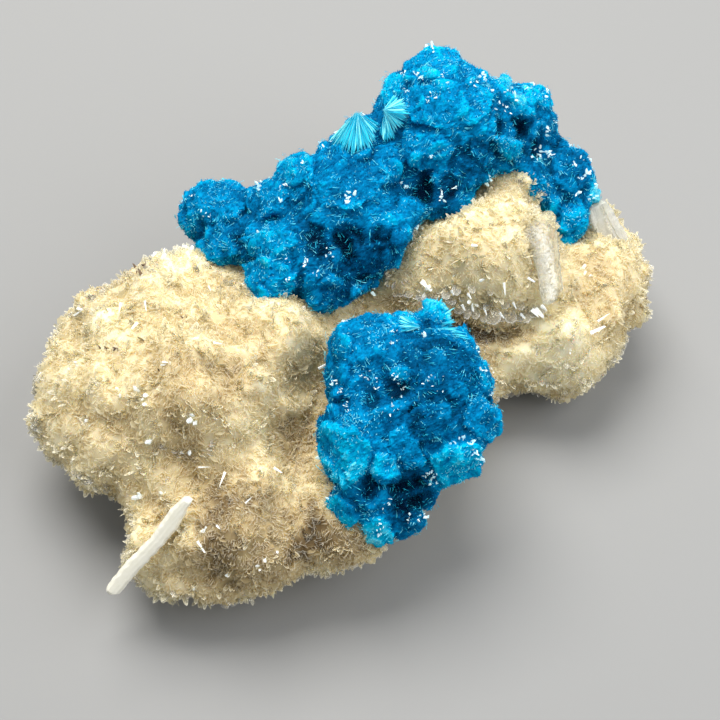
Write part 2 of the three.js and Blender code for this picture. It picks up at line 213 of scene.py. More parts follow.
# Groups of small white crystals on the cavansite, as (x, y, how many, reach in pixels, size in mm).
RIDGE_WHITES = [
    (431, 47, 5, 4, 0.45), (404, 76, 5, 5, 0.35), (416, 76, 6, 5, 0.40), (424, 79, 4, 3, 0.35),
    (408, 90, 5, 4, 0.32), (430, 99, 7, 6, 0.30), (445, 73, 4, 5, 0.28), (445, 81, 2, 2, 0.32),
    (484, 77, 8, 5, 0.42), (474, 82, 3, 4, 0.28), (490, 90, 3, 3, 0.30), (494, 110, 3, 4, 0.26),
    (505, 108, 6, 6, 0.30), (510, 92, 6, 6, 0.26), (516, 100, 3, 4, 0.28), (531, 85, 4, 4, 0.40),
    (545, 94, 6, 6, 0.28), (547, 131, 4, 4, 0.36), (556, 121, 3, 3, 0.26), (540, 150, 8, 6, 0.42),
    (549, 154, 7, 5, 0.46), (536, 159, 5, 5, 0.34), (572, 147, 3, 3, 0.34), (575, 163, 3, 3, 0.46),
    (582, 160, 2, 2, 0.34), (587, 172, 6, 5, 0.46), (583, 178, 3, 3, 0.28), (576, 192, 2, 2, 0.50),
    (596, 186, 4, 4, 0.32), (593, 199, 4, 4, 0.38), (432, 156, 3, 2, 0.42), (406, 186, 2, 2, 0.50),
    (400, 183, 2, 2, 0.34), (456, 187, 3, 2, 0.36), (440, 197, 7, 8, 0.28), (348, 199, 7, 5, 0.48),
    (354, 195, 4, 3, 0.40), (349, 192, 2, 2, 0.36), (280, 200, 3, 2, 0.50), (280, 189, 2, 2, 0.40),
    (286, 186, 3, 3, 0.36), (259, 188, 6, 4, 0.42), (262, 184, 3, 3, 0.32), (304, 162, 2, 2, 0.30),
    (203, 213, 3, 3, 0.30), (210, 216, 2, 2, 0.26), (189, 198, 5, 6, 0.22), (304, 262, 6, 5, 0.30),
    (315, 271, 4, 4, 0.30), (330, 254, 5, 6, 0.26), (288, 278, 4, 4, 0.28), (288, 259, 3, 3, 0.28),
    (322, 146, 5, 5, 0.30), (338, 140, 3, 3, 0.30), (360, 140, 2, 2, 0.30),
]
CLUSTER_WHITES = [
    (334, 384, 6, 6, 0.28), (340, 391, 4, 4, 0.26), (368, 378, 7, 8, 0.24), (376, 388, 3, 3, 0.30),
    (394, 343, 5, 4, 0.28), (393, 330, 4, 4, 0.22), (396, 375, 6, 5, 0.28), (402, 388, 5, 4, 0.26),
    (402, 396, 3, 3, 0.22), (422, 334, 3, 3, 0.40), (482, 371, 4, 4, 0.34), (491, 394, 3, 2, 0.46),
    (346, 404, 7, 6, 0.24), (393, 409, 8, 8, 0.20), (430, 381, 9, 12, 0.20), (452, 443, 4, 4, 0.32),
    (462, 438, 4, 3, 0.46), (471, 442, 5, 4, 0.40), (476, 452, 5, 4, 0.32), (479, 460, 6, 5, 0.42),
    (432, 473, 8, 6, 0.26), (434, 484, 8, 6, 0.32), (425, 476, 4, 4, 0.28), (334, 486, 5, 4, 0.38),
    (330, 498, 4, 4, 0.26), (380, 526, 8, 7, 0.26), (380, 534, 3, 2, 0.38), (414, 521, 6, 6, 0.26),
    (389, 503, 6, 6, 0.22),
]

# Rows of larger clear crystals on the crust: the line they follow as seen, how many, size in mm.
CRUST_ENDS = [
    ([(392, 286), (410, 296), (430, 302), (450, 308)], 14, 1.1),
    ([(400, 276), (430, 290), (465, 302), (500, 310), (536, 310)], 20, 0.9),
    ([(482, 398), (500, 400), (530, 400), (560, 396), (585, 388), (606, 372), (622, 350), (640, 326)],
      40, 1.0),
    ([(648, 318), (654, 296), (652, 272), (642, 250), (632, 238)], 20, 0.9),
    ([(545, 230), (538, 210), (528, 192), (516, 180)], 14, 0.9),
    ([(158, 262), (130, 280), (104, 292), (84, 304), (66, 322), (52, 344)], 36, 1.0),
    ([(46, 360), (36, 380), (30, 402), (38, 430), (54, 456), (72, 470), (96, 486), (118, 498)], 50, 1.1),
    ([(120, 540), (126, 566), (146, 586), (176, 600), (215, 606), (256, 598)], 40, 0.9),
    ([(280, 592), (320, 582), (356, 568), (384, 548)], 22, 0.9),
    ([(196, 270), (222, 276), (240, 290), (262, 300)], 12, 1.1),
    ([(150, 440), (170, 452), (190, 456), (214, 448)], 10, 1.0),
]

# Single clear crystals under the peak: the foot, width and length in pixels, and the turn in degrees.
CRUST_GLASS = [
    (447, 288, 10, 12, 8), (456, 284, 9, 12, -6), (452, 296, 11, 10, 12), (460, 304, 12, 11, 10),
    (471, 284, 8, 10, -8), (469, 306, 8, 14, 14), (476, 308, 9, 12, 4), (484, 312, 9, 11, 2),
    (493, 309, 17, 16, 0), (502, 314, 8, 9, -6), (510, 311, 13, 13, -4), (518, 313, 9, 10, -12),
    (524, 311, 10, 13, -16), (530, 306, 9, 13, -24), (538, 303, 9, 12, -30), (487, 302, 10, 9, 10),
    (505, 302, 9, 8, -10), (520, 302, 8, 9, -10), (435, 294, 9, 10, 16), (424, 292, 9, 9, 20),
    (411, 290, 8, 9, 24),
]

# Dark grains among the crust's crystals, as the white groups are given.
CRUST_SPECKS = [
    (106, 348, 3, 4, 0.30), (116, 347, 4, 5, 0.30), (185, 320, 4, 5, 0.30), (138, 269, 9, 8, 0.55),
    (150, 258, 6, 7, 0.45), (160, 372, 2, 4, 0.25), (232, 300, 2, 4, 0.25),
]

# White rods and flakes on the stilbite, mostly painted highlights set where glints are seen: two ends as
# seen, and a width in mm.
CRUST_GLINT_RODS = [
    ((423, 281), (428, 285), 0.60), ((427, 286), (431, 287), 0.45), ((452, 288), (455, 291), 0.35),
    ((468, 291), (472, 294), 0.35), ((484, 305), (487, 310), 0.30), ((462, 302), (465, 305), 0.30),
    ((499, 310), (503, 313), 0.35), ((512, 300), (514, 304), 0.30), ((520, 312), (524, 315), 0.30),
    ((532, 309), (539, 316), 0.70), ((535, 308), (543, 315), 0.60), ((541, 305), (546, 309), 0.50),
    ((81, 310), (90, 313), 0.36), ((77, 318), (89, 315), 0.26), ((122, 306), (122, 319), 0.38),
    ((145, 303), (147, 316), 0.32), ((138, 325), (133, 334), 0.34), ((195, 341), (199, 344), 0.30),
    ((212, 345), (221, 350), 0.34), ((209, 290), (211, 299), 0.28), ((219, 527), (224, 532), 0.34),
    ((198, 541), (207, 553), 0.28), ((226, 473), (221, 489), 0.34), ((200, 467), (214, 466), 0.22),
    ((421, 228), (428, 235), 0.42), ((503, 281), (503, 292), 0.30), ((480, 279), (484, 275), 0.32),
    ((525, 277), (529, 281), 0.32), ((472, 246), (478, 247), 0.34), ((588, 333), (600, 326), 0.42),
    ((596, 322), (606, 314), 0.30), ((316, 368), (326, 360), 0.30), ((272, 470), (278, 478), 0.28),
    ((246, 505), (254, 500), 0.26),
]

# White groups on the stilbite, as those on the cavansite are given.
CRUST_WHITES = [
    (142, 397, 5, 5, 0.80), (192, 419, 4, 4, 0.70), (165, 364, 3, 4, 0.50), (119, 394, 3, 3, 0.45),
    (89, 422, 4, 4, 0.50), (150, 441, 4, 4, 0.80), (139, 495, 4, 4, 0.70), (187, 454, 3, 4, 0.60),
    (263, 559, 2, 2, 0.60), (261, 568, 2, 2, 0.55), (193, 588, 2, 2, 0.60), (230, 573, 2, 1, 0.40),
    (278, 551, 1, 1, 0.36), (163, 494, 2, 2, 0.45), (204, 529, 4, 4, 0.45), (427, 288, 5, 5, 0.70),
    (458, 274, 2, 2, 0.55), (472, 304, 4, 4, 0.55), (500, 241, 1, 1, 0.45), (512, 205, 1, 1, 0.40),
    (584, 271, 4, 4, 0.55), (589, 277, 2, 2, 0.40), (250, 291, 4, 4, 0.55), (160, 252, 8, 8, 0.90),
    (176, 243, 8, 8, 0.80), (188, 238, 5, 5, 0.60), (485, 352, 2, 2, 0.36), (495, 370, 2, 2, 0.34),
    (570, 350, 2, 2, 0.34), (74, 365, 4, 6, 0.50),
]

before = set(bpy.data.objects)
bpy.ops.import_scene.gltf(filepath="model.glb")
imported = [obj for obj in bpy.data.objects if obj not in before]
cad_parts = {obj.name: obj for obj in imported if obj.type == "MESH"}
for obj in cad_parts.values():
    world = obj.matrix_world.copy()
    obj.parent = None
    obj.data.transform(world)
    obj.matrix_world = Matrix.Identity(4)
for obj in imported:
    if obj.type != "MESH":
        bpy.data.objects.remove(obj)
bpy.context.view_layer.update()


# ---------------------------------------------------------------- meshes and arrays


def rows_of(items, name, kind):
    """One attribute of a mesh's items, as rows of three."""
    found = np.empty(len(items) * 3, kind)
    items.foreach_get(name, found)
    return found.reshape(-1, 3)


def points_of(mesh):
    return rows_of(mesh.vertices, "co", np.float32).astype(float)


def normals_of(mesh):
    return rows_of(mesh.vertex_normals, "vector", np.float32).astype(float)


def triangles_of(mesh):
    mesh.calc_loop_triangles()
    return rows_of(mesh.loop_triangles, "vertices", np.int32)


def set_points(mesh, points):
    mesh.vertices.foreach_set("co", points.astype(np.float32).ravel())
    mesh.update()


def unit(vectors):
    """Rows of vectors, each made one long."""
    return vectors / np.maximum(np.linalg.norm(vectors, axis=1, keepdims=True), 1e-12)


def unit_of(vector):
    return unit(vector[None])[0]


def shaken(vector, spread):
    """A vector with a random shift."""
    return vector + spread * rng.normal(size=vector.shape)


def mesh_from(name, points, triangles, tone, height, smooth=False):
    """A mesh of triangles. tone and height are per corner, and make its map."""
    mesh = bpy.data.meshes.new(name)
    mesh.vertices.add(len(points))
    mesh.vertices.foreach_set("co", points.astype(np.float32).ravel())
    mesh.loops.add(triangles.size)
    mesh.loops.foreach_set("vertex_index", triangles.astype(np.int32).ravel())
    mesh.polygons.add(len(triangles))
    mesh.polygons.foreach_set("loop_start", np.arange(0, triangles.size, 3, dtype=np.int32))
    mesh.polygons.foreach_set("use_smooth", np.full(len(triangles), smooth))
    layer = mesh.uv_layers.new(name=MAP)
    places = np.stack([tone.ravel(), height.ravel()], 1).clip(MAP_MARGIN, 1 - MAP_MARGIN)
    layer.data.foreach_set("uv", places.astype(np.float32).ravel())
    mesh.update(calc_edges=True)
    mesh.validate()
    return mesh


def put_in_scene(name, data):
    made = bpy.data.objects.new(name, data)
    bpy.context.scene.collection.objects.link(made)
    return made


def piece_of(mesh, material):
    piece = put_in_scene(mesh.name, mesh)
    mesh.materials.append(material)
    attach(piece, "root")
    return piece


# ---------------------------------------------------------------- skins

NOISE_STEPS = (13.7, 5.1, 9.3)  # how far apart the noises of two seeds are taken
TURNED_AWAY = 0.1  # a place that faces the camera less than this isn't seen in the photograph


def evaluated(mesh, steps):
    """A mesh after modifiers. steps are (kind, settings) pairs."""
    source = put_in_scene("source", mesh)
    for kind, settings in steps:
        modifier = source.modifiers.new(kind, kind)
        for name, value in settings.items():
            setattr(modifier, name, value)
    graph = bpy.context.evaluated_depsgraph_get()
    made = bpy.data.meshes.new_from_object(source.evaluated_get(graph))
    bpy.data.objects.remove(source)
    bpy.data.meshes.remove(mesh)
    return made


def voxels(size):
    return ("REMESH", {"mode": "VOXEL", "voxel_size": size})


def swell(height):
    return ("DISPLACE", {"strength": height, "mid_level": 0.0})


def ball(centre, radius):
    """A rough ball, as points and faces."""
    shell = bmesh.new()
    bmesh.ops.create_icosphere(shell, subdivisions=3, radius=radius)
    points = np.array([v.co[:] for v in shell.verts]) + centre
    faces = np.array([[v.index for v in f.verts] for f in shell.faces])
    shell.free()
    return points, faces


def sight(x, y):
    """The direction from the camera through a pixel of the photograph."""
    way = AHEAD + RIGHTWARD * ((x - PHOTO_SIDE / 2) / FOCAL_PIXELS)
    return (way - UPWARD * ((y - PHOTO_SIDE / 2) / FOCAL_PIXELS)).normalized()


def lump_solids(lumps):
    """Balls where the line of sight through a pixel passes a height."""
    solids = []
    for x, y, height, radius in lumps:
        way = sight(x, y)
        centre = EYE + way * ((height * MM - EYE.z) / way.z)
        solids.append(ball(np.array(centre), radius * MM))
    return solids


def joined(mesh, solids):
    """One mesh from a mesh and solids, each as points and faces."""
    corners, faces = [points_of(mesh)], [triangles_of(mesh)]
    start = len(corners[0])
    for points, triangles in solids:
        corners.append(points)
        faces.append(triangles + start)
        start += len(points)
    made = bpy.data.meshes.new(mesh.name)
    made.from_pydata(np.concatenate(corners).tolist(), [], np.concatenate(faces).tolist())
    return made


def closed_skin(node, lumps, fill, inset, voxel, rounds):
    """A rounded skin over a node and lumps. It is swollen by fill and drawn back, which fills the creases,
    then drawn in by inset. Its faces are about as large as voxel, and it is smoothed for some rounds."""
    coarse = voxels(0.7 * MM)
    half_back = -fill / 2
    steps = [coarse, swell(fill), coarse, swell(half_back), coarse, swell(half_back - inset), voxels(voxel)]
    steps.append(("SMOOTH", {"factor": 0.5, "iterations": rounds}))
    return evaluated(joined(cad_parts[node].data, lump_solids(lumps)), steps)


def nudged(points, nudges):
    """Points moved across the picture near pixels of the photograph. A nudge is x, y, its reach, and how far
    it moves them right and down, all in pixels."""
    seen = points - EYE_PLACE
    depth = seen @ np.array(AHEAD)
    right = seen @ np.array(RIGHTWARD) / depth * FOCAL_PIXELS + PHOTO_SIDE / 2
    down = PHOTO_SIDE / 2 - seen @ np.array(UPWARD) / depth * FOCAL_PIXELS
    moved = points.copy()
    for x, y, reach, across, below in nudges:
        share = np.clip(1 - np.hypot(right - x, down - y) / reach, 0, 1)
        share = share * share * (3 - 2 * share) * depth / FOCAL_PIXELS
        moved += share[:, None] * np.array(RIGHTWARD * across - UPWARD * below)
    return moved


def noises(points, grain, seed):
    """A smooth noise from about -1 to 1 at each point. grain is its size, and seed picks one of many."""
    shift = Vector([seed * step for step in NOISE_STEPS])
    return np.array([noise.noise(Vector(p) / grain + shift) for p in points])


def waves(points, *layers):
    """Noises added up. Each layer is its height, its grain in mm and its seed."""
    return sum(height * noises(points, grain * MM, seed) for height, grain, seed in layers)


class Surface:
    """A mesh as arrays that crystals can be scattered on, with a smooth outward direction at each place."""

    def __init__(self, mesh, smoothing):
        self.points = points_of(mesh)
        self.triangles = triangles_of(mesh)
        self.pairs = (self.triangles[:, [0, 1, 2]].ravel(), self.triangles[:, [1, 2, 0]].ravel())
        self.outward = unit(self.averaged(normals_of(mesh), smoothing))
        corners = self.points[self.triangles]
        cross = np.cross(corners[:, 1] - corners[:, 0], corners[:, 2] - corners[:, 0])
        self.area = np.linalg.norm(cross, axis=1) / 2
        self.tree = BVHTree.FromPolygons(self.points.tolist(), self.triangles.tolist())
        self.tone = np.zeros(len(self.points))

    def averaged(self, values, rounds):
        """Per-vertex vectors averaged with their neighbours', rounds times."""
        a, b = self.pairs
        count = np.bincount(a, minlength=len(values)) + np.bincount(b, minlength=len(values))
        for _ in range(rounds):
            total = values.copy()
            for axis in range(values.shape[1]):
                total[:, axis] += np.bincount(a, values[b, axis], len(values))
                total[:, axis] += np.bincount(b, values[a, axis], len(values))
            values = total / (count + 1)[:, None]
        return values

    def bulge(self, rounds):
        """How far each vertex stands out of its neighbourhood, in metres."""
        middle = self.averaged(self.points, rounds)
        return ((self.points - middle) * self.outward).sum(1)

    def facing_up(self):
        """How far each triangle faces up, from -1 to 1."""
        return self.outward[self.triangles].mean(1)[:, 2]

    def scatter(self, count, weight=None):
        """count places spread by area, as points, outward directions and tones. weight is per triangle."""
        share = self.area if weight is None else self.area * weight
        edges = np.cumsum(share) / share.sum()
        chosen = np.searchsorted(edges, (np.arange(count) + rng.random(count)) / count)
        chosen = self.triangles[np.minimum(chosen, len(self.triangles) - 1)]
        u, v = rng.random(count), rng.random(count)
        fold = u + v > 1
        u[fold], v[fold] = 1 - u[fold], 1 - v[fold]
        shares = np.stack([1 - u - v, u, v], 1)
        places = (self.points[chosen] * shares[:, :, None]).sum(1)
        outward = unit((self.outward[chosen] * shares[:, :, None]).sum(1))
        return places, outward, (self.tone[chosen] * shares).sum(1)

    def seen_at(self, x, y):
        """The place on the surface under a pixel of the photograph, and its outward direction. Off the edge
        of the surface it is the place nearest to the line of sight."""
        way = sight(x, y)
        place, _, index, _ = self.tree.ray_cast(EYE, way)
        if place is None:
            nearest = np.linalg.norm(np.cross(self.points - EYE_PLACE, np.array(way)), axis=1).argmin()
            return self.points[nearest], self.outward[nearest]
        return np.array(place), unit_of(self.outward[self.triangles[index]].mean(0))

    def seen_along(self, line):
        """The places on the surface under a line of pixels, and their mean outward direction."""
        found = [self.seen_at(x, y) for x, y in line]
        return np.array([f[0] for f in found]), unit_of(sum(f[1] for f in found))


def spot_field(surface, spots):
    """What spots seen in the photograph add to each vertex: a rise in metres and a tone."""
    rise, tone = np.zeros(len(surface.points)), np.zeros(len(surface.points))
    ragged = 0.6 * noises(surface.points, 2.2 * MM, 4)
    for x, y, radius, height, shade in spots:
        place, _ = surface.seen_at(x, y)
        far = np.linalg.norm(surface.points - place, axis=1) / (radius * PIXEL) + ragged
        step = np.clip((1.3 - far) / 0.9, 0, 1)
        rise += height * MM * step * step * (3 - 2 * step)
        tone += shade * np.clip((1.35 - far) / 0.8, 0, 1)
    return rise, tone


def hull(points):
    """A convex solid round points, as a mesh's arrays."""
    shell = bmesh.new()
    for point in points:
        shell.verts.new(point)
    bmesh.ops.convex_hull(shell, input=shell.verts)
    bmesh.ops.delete(shell, geom=[v for v in shell.verts if not v.link_faces], context="VERTS")
    bmesh.ops.triangulate(shell, faces=shell.faces)
    bmesh.ops.recalc_face_normals(shell, faces=shell.faces)
    shell.verts.index_update()
    corners = np.array([v.co[:] for v in shell.verts])
    faces = np.array([[v.index for v in f.verts] for f in shell.faces])
    shell.free()
    return corners, faces


def chunk(rim, outward, rise, depth):
    """A chunk over a rim of surface points: a low crown above it and a narrower root below it."""
    middle = rim.mean(0)
    shoulder = rim + outward * rise * 0.85
    crown = rim * 0.8 + middle * 0.2 + outward * rise * 1.15
    root = rim * 0.45 + middle * 0.55 - outward * depth
    return hull(np.concatenate([shoulder, crown, root]))


def seen_chunks(surface, chunks):
    """The solids of the chunks seen in the photograph, and the spots that carry their tones."""
    solids, spots = [], []
    for outline, rise, shade in chunks:
        rim, outward = surface.seen_along(outline)
        solids.append(chunk(rim, outward, rise * MM, 2.5 * MM))
        radius = np.linalg.norm(rim - rim.mean(0), axis=1).mean()
        spots.append((rim.mean(0), radius, shade))
    return solids, spots


def hidden_chunks(surface, count, seen):
    """Chunks of random outline, for the sides that the photograph doesn't show. They keep away from the spots
    in seen."""
    solids, spots = [], []
    corners = 8
    places, outward, _ = surface.scatter(count)
    for place, out in zip(places, outward):
        if out @ unit_of(EYE_PLACE - place) > TURNED_AWAY:
            continue
        if any(np.linalg.norm(place - centre) < radius * 1.3 for centre, radius, _ in seen):
            continue
        side = unit_of(np.cross(out, rng.normal(size=3)))
        other = np.cross(out, side)
        radius = rng.uniform(1.3, 3.6) * MM
        turns = np.sort(rng.uniform(0, 2 * math.pi, corners))
        reach = radius * rng.uniform(0.75, 1.15, corners)
        rim = place + np.outer(reach * np.cos(turns), side) + np.outer(reach * np.sin(turns), other)
        lean = unit_of(shaken(out, 0.25))
        solids.append(chunk(rim, lean, rng.uniform(0.2, 0.7) * MM, 2 * MM))
        spots.append((place, radius, rng.normal() * 0.07))
    return solids, spots


def tilted_caps(points, centres, radii, heights, leans):
    """The highest of many round caps at each point, each with its own lean. Where two meet is a crease."""
    best = np.zeros(len(points))
    for centre, radius, height, lean in zip(centres, radii, heights, leans):
        near = np.abs(points - centre).max(1) < radius
        off = points[near] - centre
        far = np.linalg.norm(off, axis=1) / radius
        cap = (height + off @ lean) * np.clip((1 - far) / 0.35, 0, 1) ** 0.5
        best[near] = np.maximum(best[near], cap)
    return best


def base_fade(points):
    """Nothing at the flat base, and full from 2 mm up."""
    return np.clip(points[:, 2] / (2 * MM), 0, 1)


def grounded(points):
    """Points drawn down near the base until the lowest rests on the floor."""
    lowest = points[:, 2].min()
    share = np.clip(1 - (points[:, 2] - lowest) / (4 * MM), 0, 1)
    lowered = points.copy()
    lowered[:, 2] = np.maximum(points[:, 2] - lowest * share, 0)
    return lowered


# ---------------------------------------------------------------- crystals

# A thin plate: its sheet is (across, up), and a band as wide as the plate is thick runs over its top.
PLATE_SHEET = [(-0.38, 0), (0.38, 0), (0.5, 0.66), (0.06, 1.0), (-0.5, 0.7)]
PLATE_TOP = PLATE_SHEET[2:]

# A chisel-tipped needle: a square foot, and a short slanted ridge at the tip.
NEEDLE_FOOT = [(-0.5, -0.5, 0), (0.5, -0.5, 0), (0.5, 0.5, 0), (-0.5, 0.5, 0)]
NEEDLE_TIP = [(-0.32, 0, 0.9), (0.3, 0, 1.0)]
NEEDLE_FACES = [(0, 1, 5), (0, 5, 4), (1, 2, 5), (2, 3, 4), (2, 4, 5), (3, 0, 4)]

# Crystals swollen in their middle, as (across, up) outlines and the middles of their two sides.
LENS_OUTLINE = [(-0.36, 0), (0.36, 0), (0.5, 0.5), (0.42, 0.82), (0.1, 1.0), (-0.34, 0.9), (-0.5, 0.55)]
LEAF_OUTLINE = [(-0.38, 0), (0.38, 0), (0.5, 0.5), (0.3, 0.85), (0.04, 1.0), (-0.26, 0.88), (-0.5, 0.54)]
LENS_MIDDLES = [(0.04, -0.5, 0.62), (-0.03, 0.5, 0.58)]

TONE_ACROSS = 0.012  # how far the tone changes across a crystal


def plate_shape():
    """A plate, with how near to its edge each point is; the material paints a highlight along that edge."""
    sheet = [(x, 0, z) for x, z in PLATE_SHEET]
    edge = [(x, side, z) for side in (-0.5, 0.5) for x, z in PLATE_TOP]
    faces = [(0, step, step + 1) for step in range(1, len(sheet) - 1)]
    first, last = len(sheet), len(sheet) + len(PLATE_TOP)
    for step in range(len(PLATE_TOP) - 1):
        a, b, c, d = first + step, first + step + 1, last + step + 1, last + step
        faces += [(a, b, c), (a, c, d)]
    near = [0.0, 0.0] + [0.6] * len(PLATE_TOP) + [1.0] * (2 * len(PLATE_TOP))
    return np.array(sheet + edge, float), np.array(faces), np.array(near)


def lens_shape(outline=LENS_OUTLINE):
    """A clear crystal, swollen in its middle, with how near to its edge each point is."""
    edge = [(x, 0, z) for x, z in outline]
    count = len(edge)
    sides = [(step, (step + 1) % count) for step in range(count)]
    faces = [(count, a, b) for a, b in sides] + [(count + 1, b, a) for a, b in sides]
    return np.array(edge + LENS_MIDDLES, float), np.array(faces), np.array([1.0] * count + [0.0, 0.0])


def ribbon_shape():
    """A thin flat line."""
    points = np.array([(-0.5, 0, 0), (0.5, 0, 0), (0.3, 0, 1), (-0.3, 0, 1)])
    return points, np.array([(0, 1, 2), (0, 2, 3)]), np.full(4, 0.6)


def needle_shape():
    points = np.array(NEEDLE_FOOT + NEEDLE_TIP, float)
    return points, np.array(NEEDLE_FACES), points[:, 2]


def spindle_shape():
    """A three-sided fibre, thin at its foot and widest near its end."""
    points = np.array([(0, 0, 0), (-0.5, -0.29, 0.85), (0.5, -0.29, 0.85), (0, 0.58, 0.85), (0, 0, 1)])
    faces = [(0, 2, 1), (0, 3, 2), (0, 1, 3), (1, 2, 4), (2, 3, 4), (3, 1, 4)]
    return points, np.array(faces), points[:, 2]


def grain_shape():
    """A three-sided point, open at its foot."""
    points = np.array([(-0.5, -0.29, 0), (0.5, -0.29, 0), (0, 0.58, 0), (0.06, 0.05, 1)])
    return points, np.array([(0, 1, 3), (1, 2, 3), (2, 0, 3)]), points[:, 2]


def grown(name, shape, feet, along, across, sizes, tones):
    """Many copies of a crystal shape as one mesh. along and across are each crystal's own directions, sizes
    its width, thickness and length, and tones its place across the map."""
    points, faces, heights = shape
    along = unit(along)
    thick = unit(np.cross(along, across))
    across = np.cross(thick, along)
    turn = np.stack([across, thick, along], 1)
    local = points[None] * sizes[:, None, :]
    placed = np.einsum("nki,nij->nkj", local, turn) + feet[:, None]
    count = len(feet)
    triangles = faces[None] + (np.arange(count) * len(points))[:, None, None]
    tone = tones[:, None, None] + TONE_ACROSS * points[faces][None, :, :, 0]
    height = np.broadcast_to(heights[faces][None], (count, *faces.shape))
    return mesh_from(name, placed.reshape(-1, 3), triangles.reshape(-1, 3), tone, height)


def grow(name, material, slot, *crystals):
    """A piece of many copies of a crystal shape. crystals is what grown takes after the name."""
    return piece_of(grown(name, *crystals), material)


class Crystals:
    """Crystals gathered one by one, each with its foot, its direction and its size."""

    def __init__(self):
        self.feet, self.along, self.sizes = [], [], []

    def add(self, foot, way, *size):
        self.feet.append(foot)
        self.along.append(way)
        self.sizes.append(size)

    def arrays(self):
        return np.array(self.feet), np.array(self.along), np.array(self.sizes)


def sideways(along):
    """A random direction at right angles to each direction."""
    return unit(np.cross(along, rng.normal(size=along.shape)))


def tilted(outward, spread):
    """Directions with a random lean."""
    return unit(shaken(outward, spread))


def random_spot(line):
    """A random place on a line through the rows of an array."""
    spot = rng.uniform(0, len(line) - 1)
    low = int(spot)
    return line[low] + (line[low + 1] - line[low]) * (spot - low)


# ---------------------------------------------------------------- materials

# The colour sockets of a Mix node.
MIX_FIRST, MIX_LAST, MIX_RESULT = 6, 7, 2


def new_material(name):
    material = bpy.data.materials.new(name)
    material.use_nodes = True
    tree = material.node_tree
    return material, tree, tree.nodes["Principled BSDF"]


def ramp(tree, source, stops):
    """The colour that a ramp gives a value. stops are (place, colour) pairs."""
    made = tree.nodes.new("ShaderNodeValToRGB")
    elements = made.color_ramp.elements
    while len(elements) > 1:
        elements.remove(elements[0])
    elements[0].position, elements[0].color = stops[0][0], (*stops[0][1], 1)
    for place, colour in stops[1:]:
        elements.new(place).color = (*colour, 1)
    tree.links.new(source, made.inputs["Fac"])
    return made.outputs["Color"]


def greys(*stops):
    return [(place, (amount,) * 3) for place, amount in stops]


def map_axes(tree):
    """The place across and the height up a crystal's map."""
    place = tree.nodes.new("ShaderNodeUVMap")
    place.uv_map = MAP
    split = tree.nodes.new("ShaderNodeSeparateXYZ")
    tree.links.new(place.outputs["UV"], split.inputs[0])
    return split.outputs["X"], split.outputs["Y"]


def mixed(tree, amount, first, last):
    """From the colour of a socket to a plain colour, by an amount."""
    mix = tree.nodes.new("ShaderNodeMix")
    mix.data_type = "RGBA"
    tree.links.new(amount, mix.inputs["Factor"])
    tree.links.new(first, mix.inputs[MIX_FIRST])
    mix.inputs[MIX_LAST].default_value = (*last, 1)
    return mix.outputs[MIX_RESULT]


def crystal_material(
    name, tones, settings, tip=(0, 0, 0), tip_share=0, tip_start=0.35, through=0, glass=(),
):
    """A crystal's material. tones are the ramp across the map. From tip_start up, tip_share of the colour tip
    comes in, a painted light towards the ends and rims of the crystals. through is the share of the light
    behind a thin face that comes through it, and glass how far a crystal can be seen through, as (height on
    its map, share) pairs."""
    material, tree, shader = new_material(name)
    across, up = map_axes(tree)
    share = ramp(tree, up, greys((tip_start, 0), (1.0, tip_share)))
    colour = mixed(tree, share, ramp(tree, across, tones), tip)
    tree.links.new(colour, shader.inputs["Base Color"])
    for socket, value in settings.items():
        shader.inputs[socket].default_value = value
    if glass:
        tree.links.new(ramp(tree, up, greys(*glass)), shader.inputs["Transmission Weight"])
    if through:
        see_through(tree, shader, colour, through)
    return material


def see_through(tree, shader, colour, share):
    """Lets a share of the light behind a thin face through it."""
    thin = tree.nodes.new("ShaderNodeBsdfTranslucent")
    tree.links.new(colour, thin.inputs["Color"])
    both = tree.nodes.new("ShaderNodeMixShader")
    both.inputs[0].default_value = share
    tree.links.new(shader.outputs[0], both.inputs[1])
    tree.links.new(thin.outputs[0], both.inputs[2])
    tree.links.new(both.outputs[0], tree.nodes["Material Output"].inputs["Surface"])


# The colours of a mass, from its darkest tone to its lightest.
STILBITE_TONES = [
    (0.0, (0.18, 0.12, 0.05)),
    (0.25, (0.58, 0.46, 0.25)),
    (0.5, (0.87, 0.78, 0.53)),
    (0.75, (0.96, 0.92, 0.74)),
    (1.0, (0.99, 0.97, 0.88)),
]
CAVANSITE_TONES = [
    (0.0, (0.000, 0.006, 0.022)),
    (0.2, (0.000, 0.038, 0.100)),
    (0.4, (0.000, 0.100, 0.250)),
    (0.6, (0.000, 0.232, 0.495)),
    (0.8, (0.000, 0.490, 0.740)),
    (1.0, (0.330, 0.920, 0.950)),
]

stilbite_skin = crystal_material(
    "stilbite_skin", STILBITE_TONES,
    settings={
        "Roughness": 0.7, "Specular IOR Level": 0.3,
        "Subsurface Weight": 0.8, "Subsurface Radius": (1.0, 0.8, 0.5), "Subsurface Scale": 1.2 * MM,
    },
)
# The plates' top bands take a lighter tip colour: a painted highlight along their edges.
stilbite_plate = crystal_material(
    "stilbite_plate", STILBITE_TONES, tip=(1.0, 0.97, 0.86), tip_share=0.8, tip_start=0.7, through=0.65,
    settings={"Roughness": 0.3, "IOR": 1.45, "Specular IOR Level": 0.5},
)
# The lighter tip colour is a painted highlight on each crystal's rim.
fan_crystal = crystal_material(
    "fan_crystal", STILBITE_TONES, tip=(1.0, 0.96, 0.82), tip_share=0.6, tip_start=0.6,
    settings={"Roughness": 0.12, "IOR": 1.18}, glass=[(0.3, 0.75), (0.75, 0.65), (1.0, 0.2)],
)
# The white tip colour is a painted highlight on each clear crystal's rim.
clear_tip = crystal_material(
    "clear_tip", [(0.0, (0.93, 0.90, 0.80)), (1.0, (1.0, 0.99, 0.95))],
    tip=(1.0, 1.0, 0.96), tip_share=1.0, tip_start=0.7,
    settings={"Roughness": 0.06, "IOR": 1.25}, glass=[(0.3, 0.85), (0.8, 0.8), (1.0, 0.6)],
)
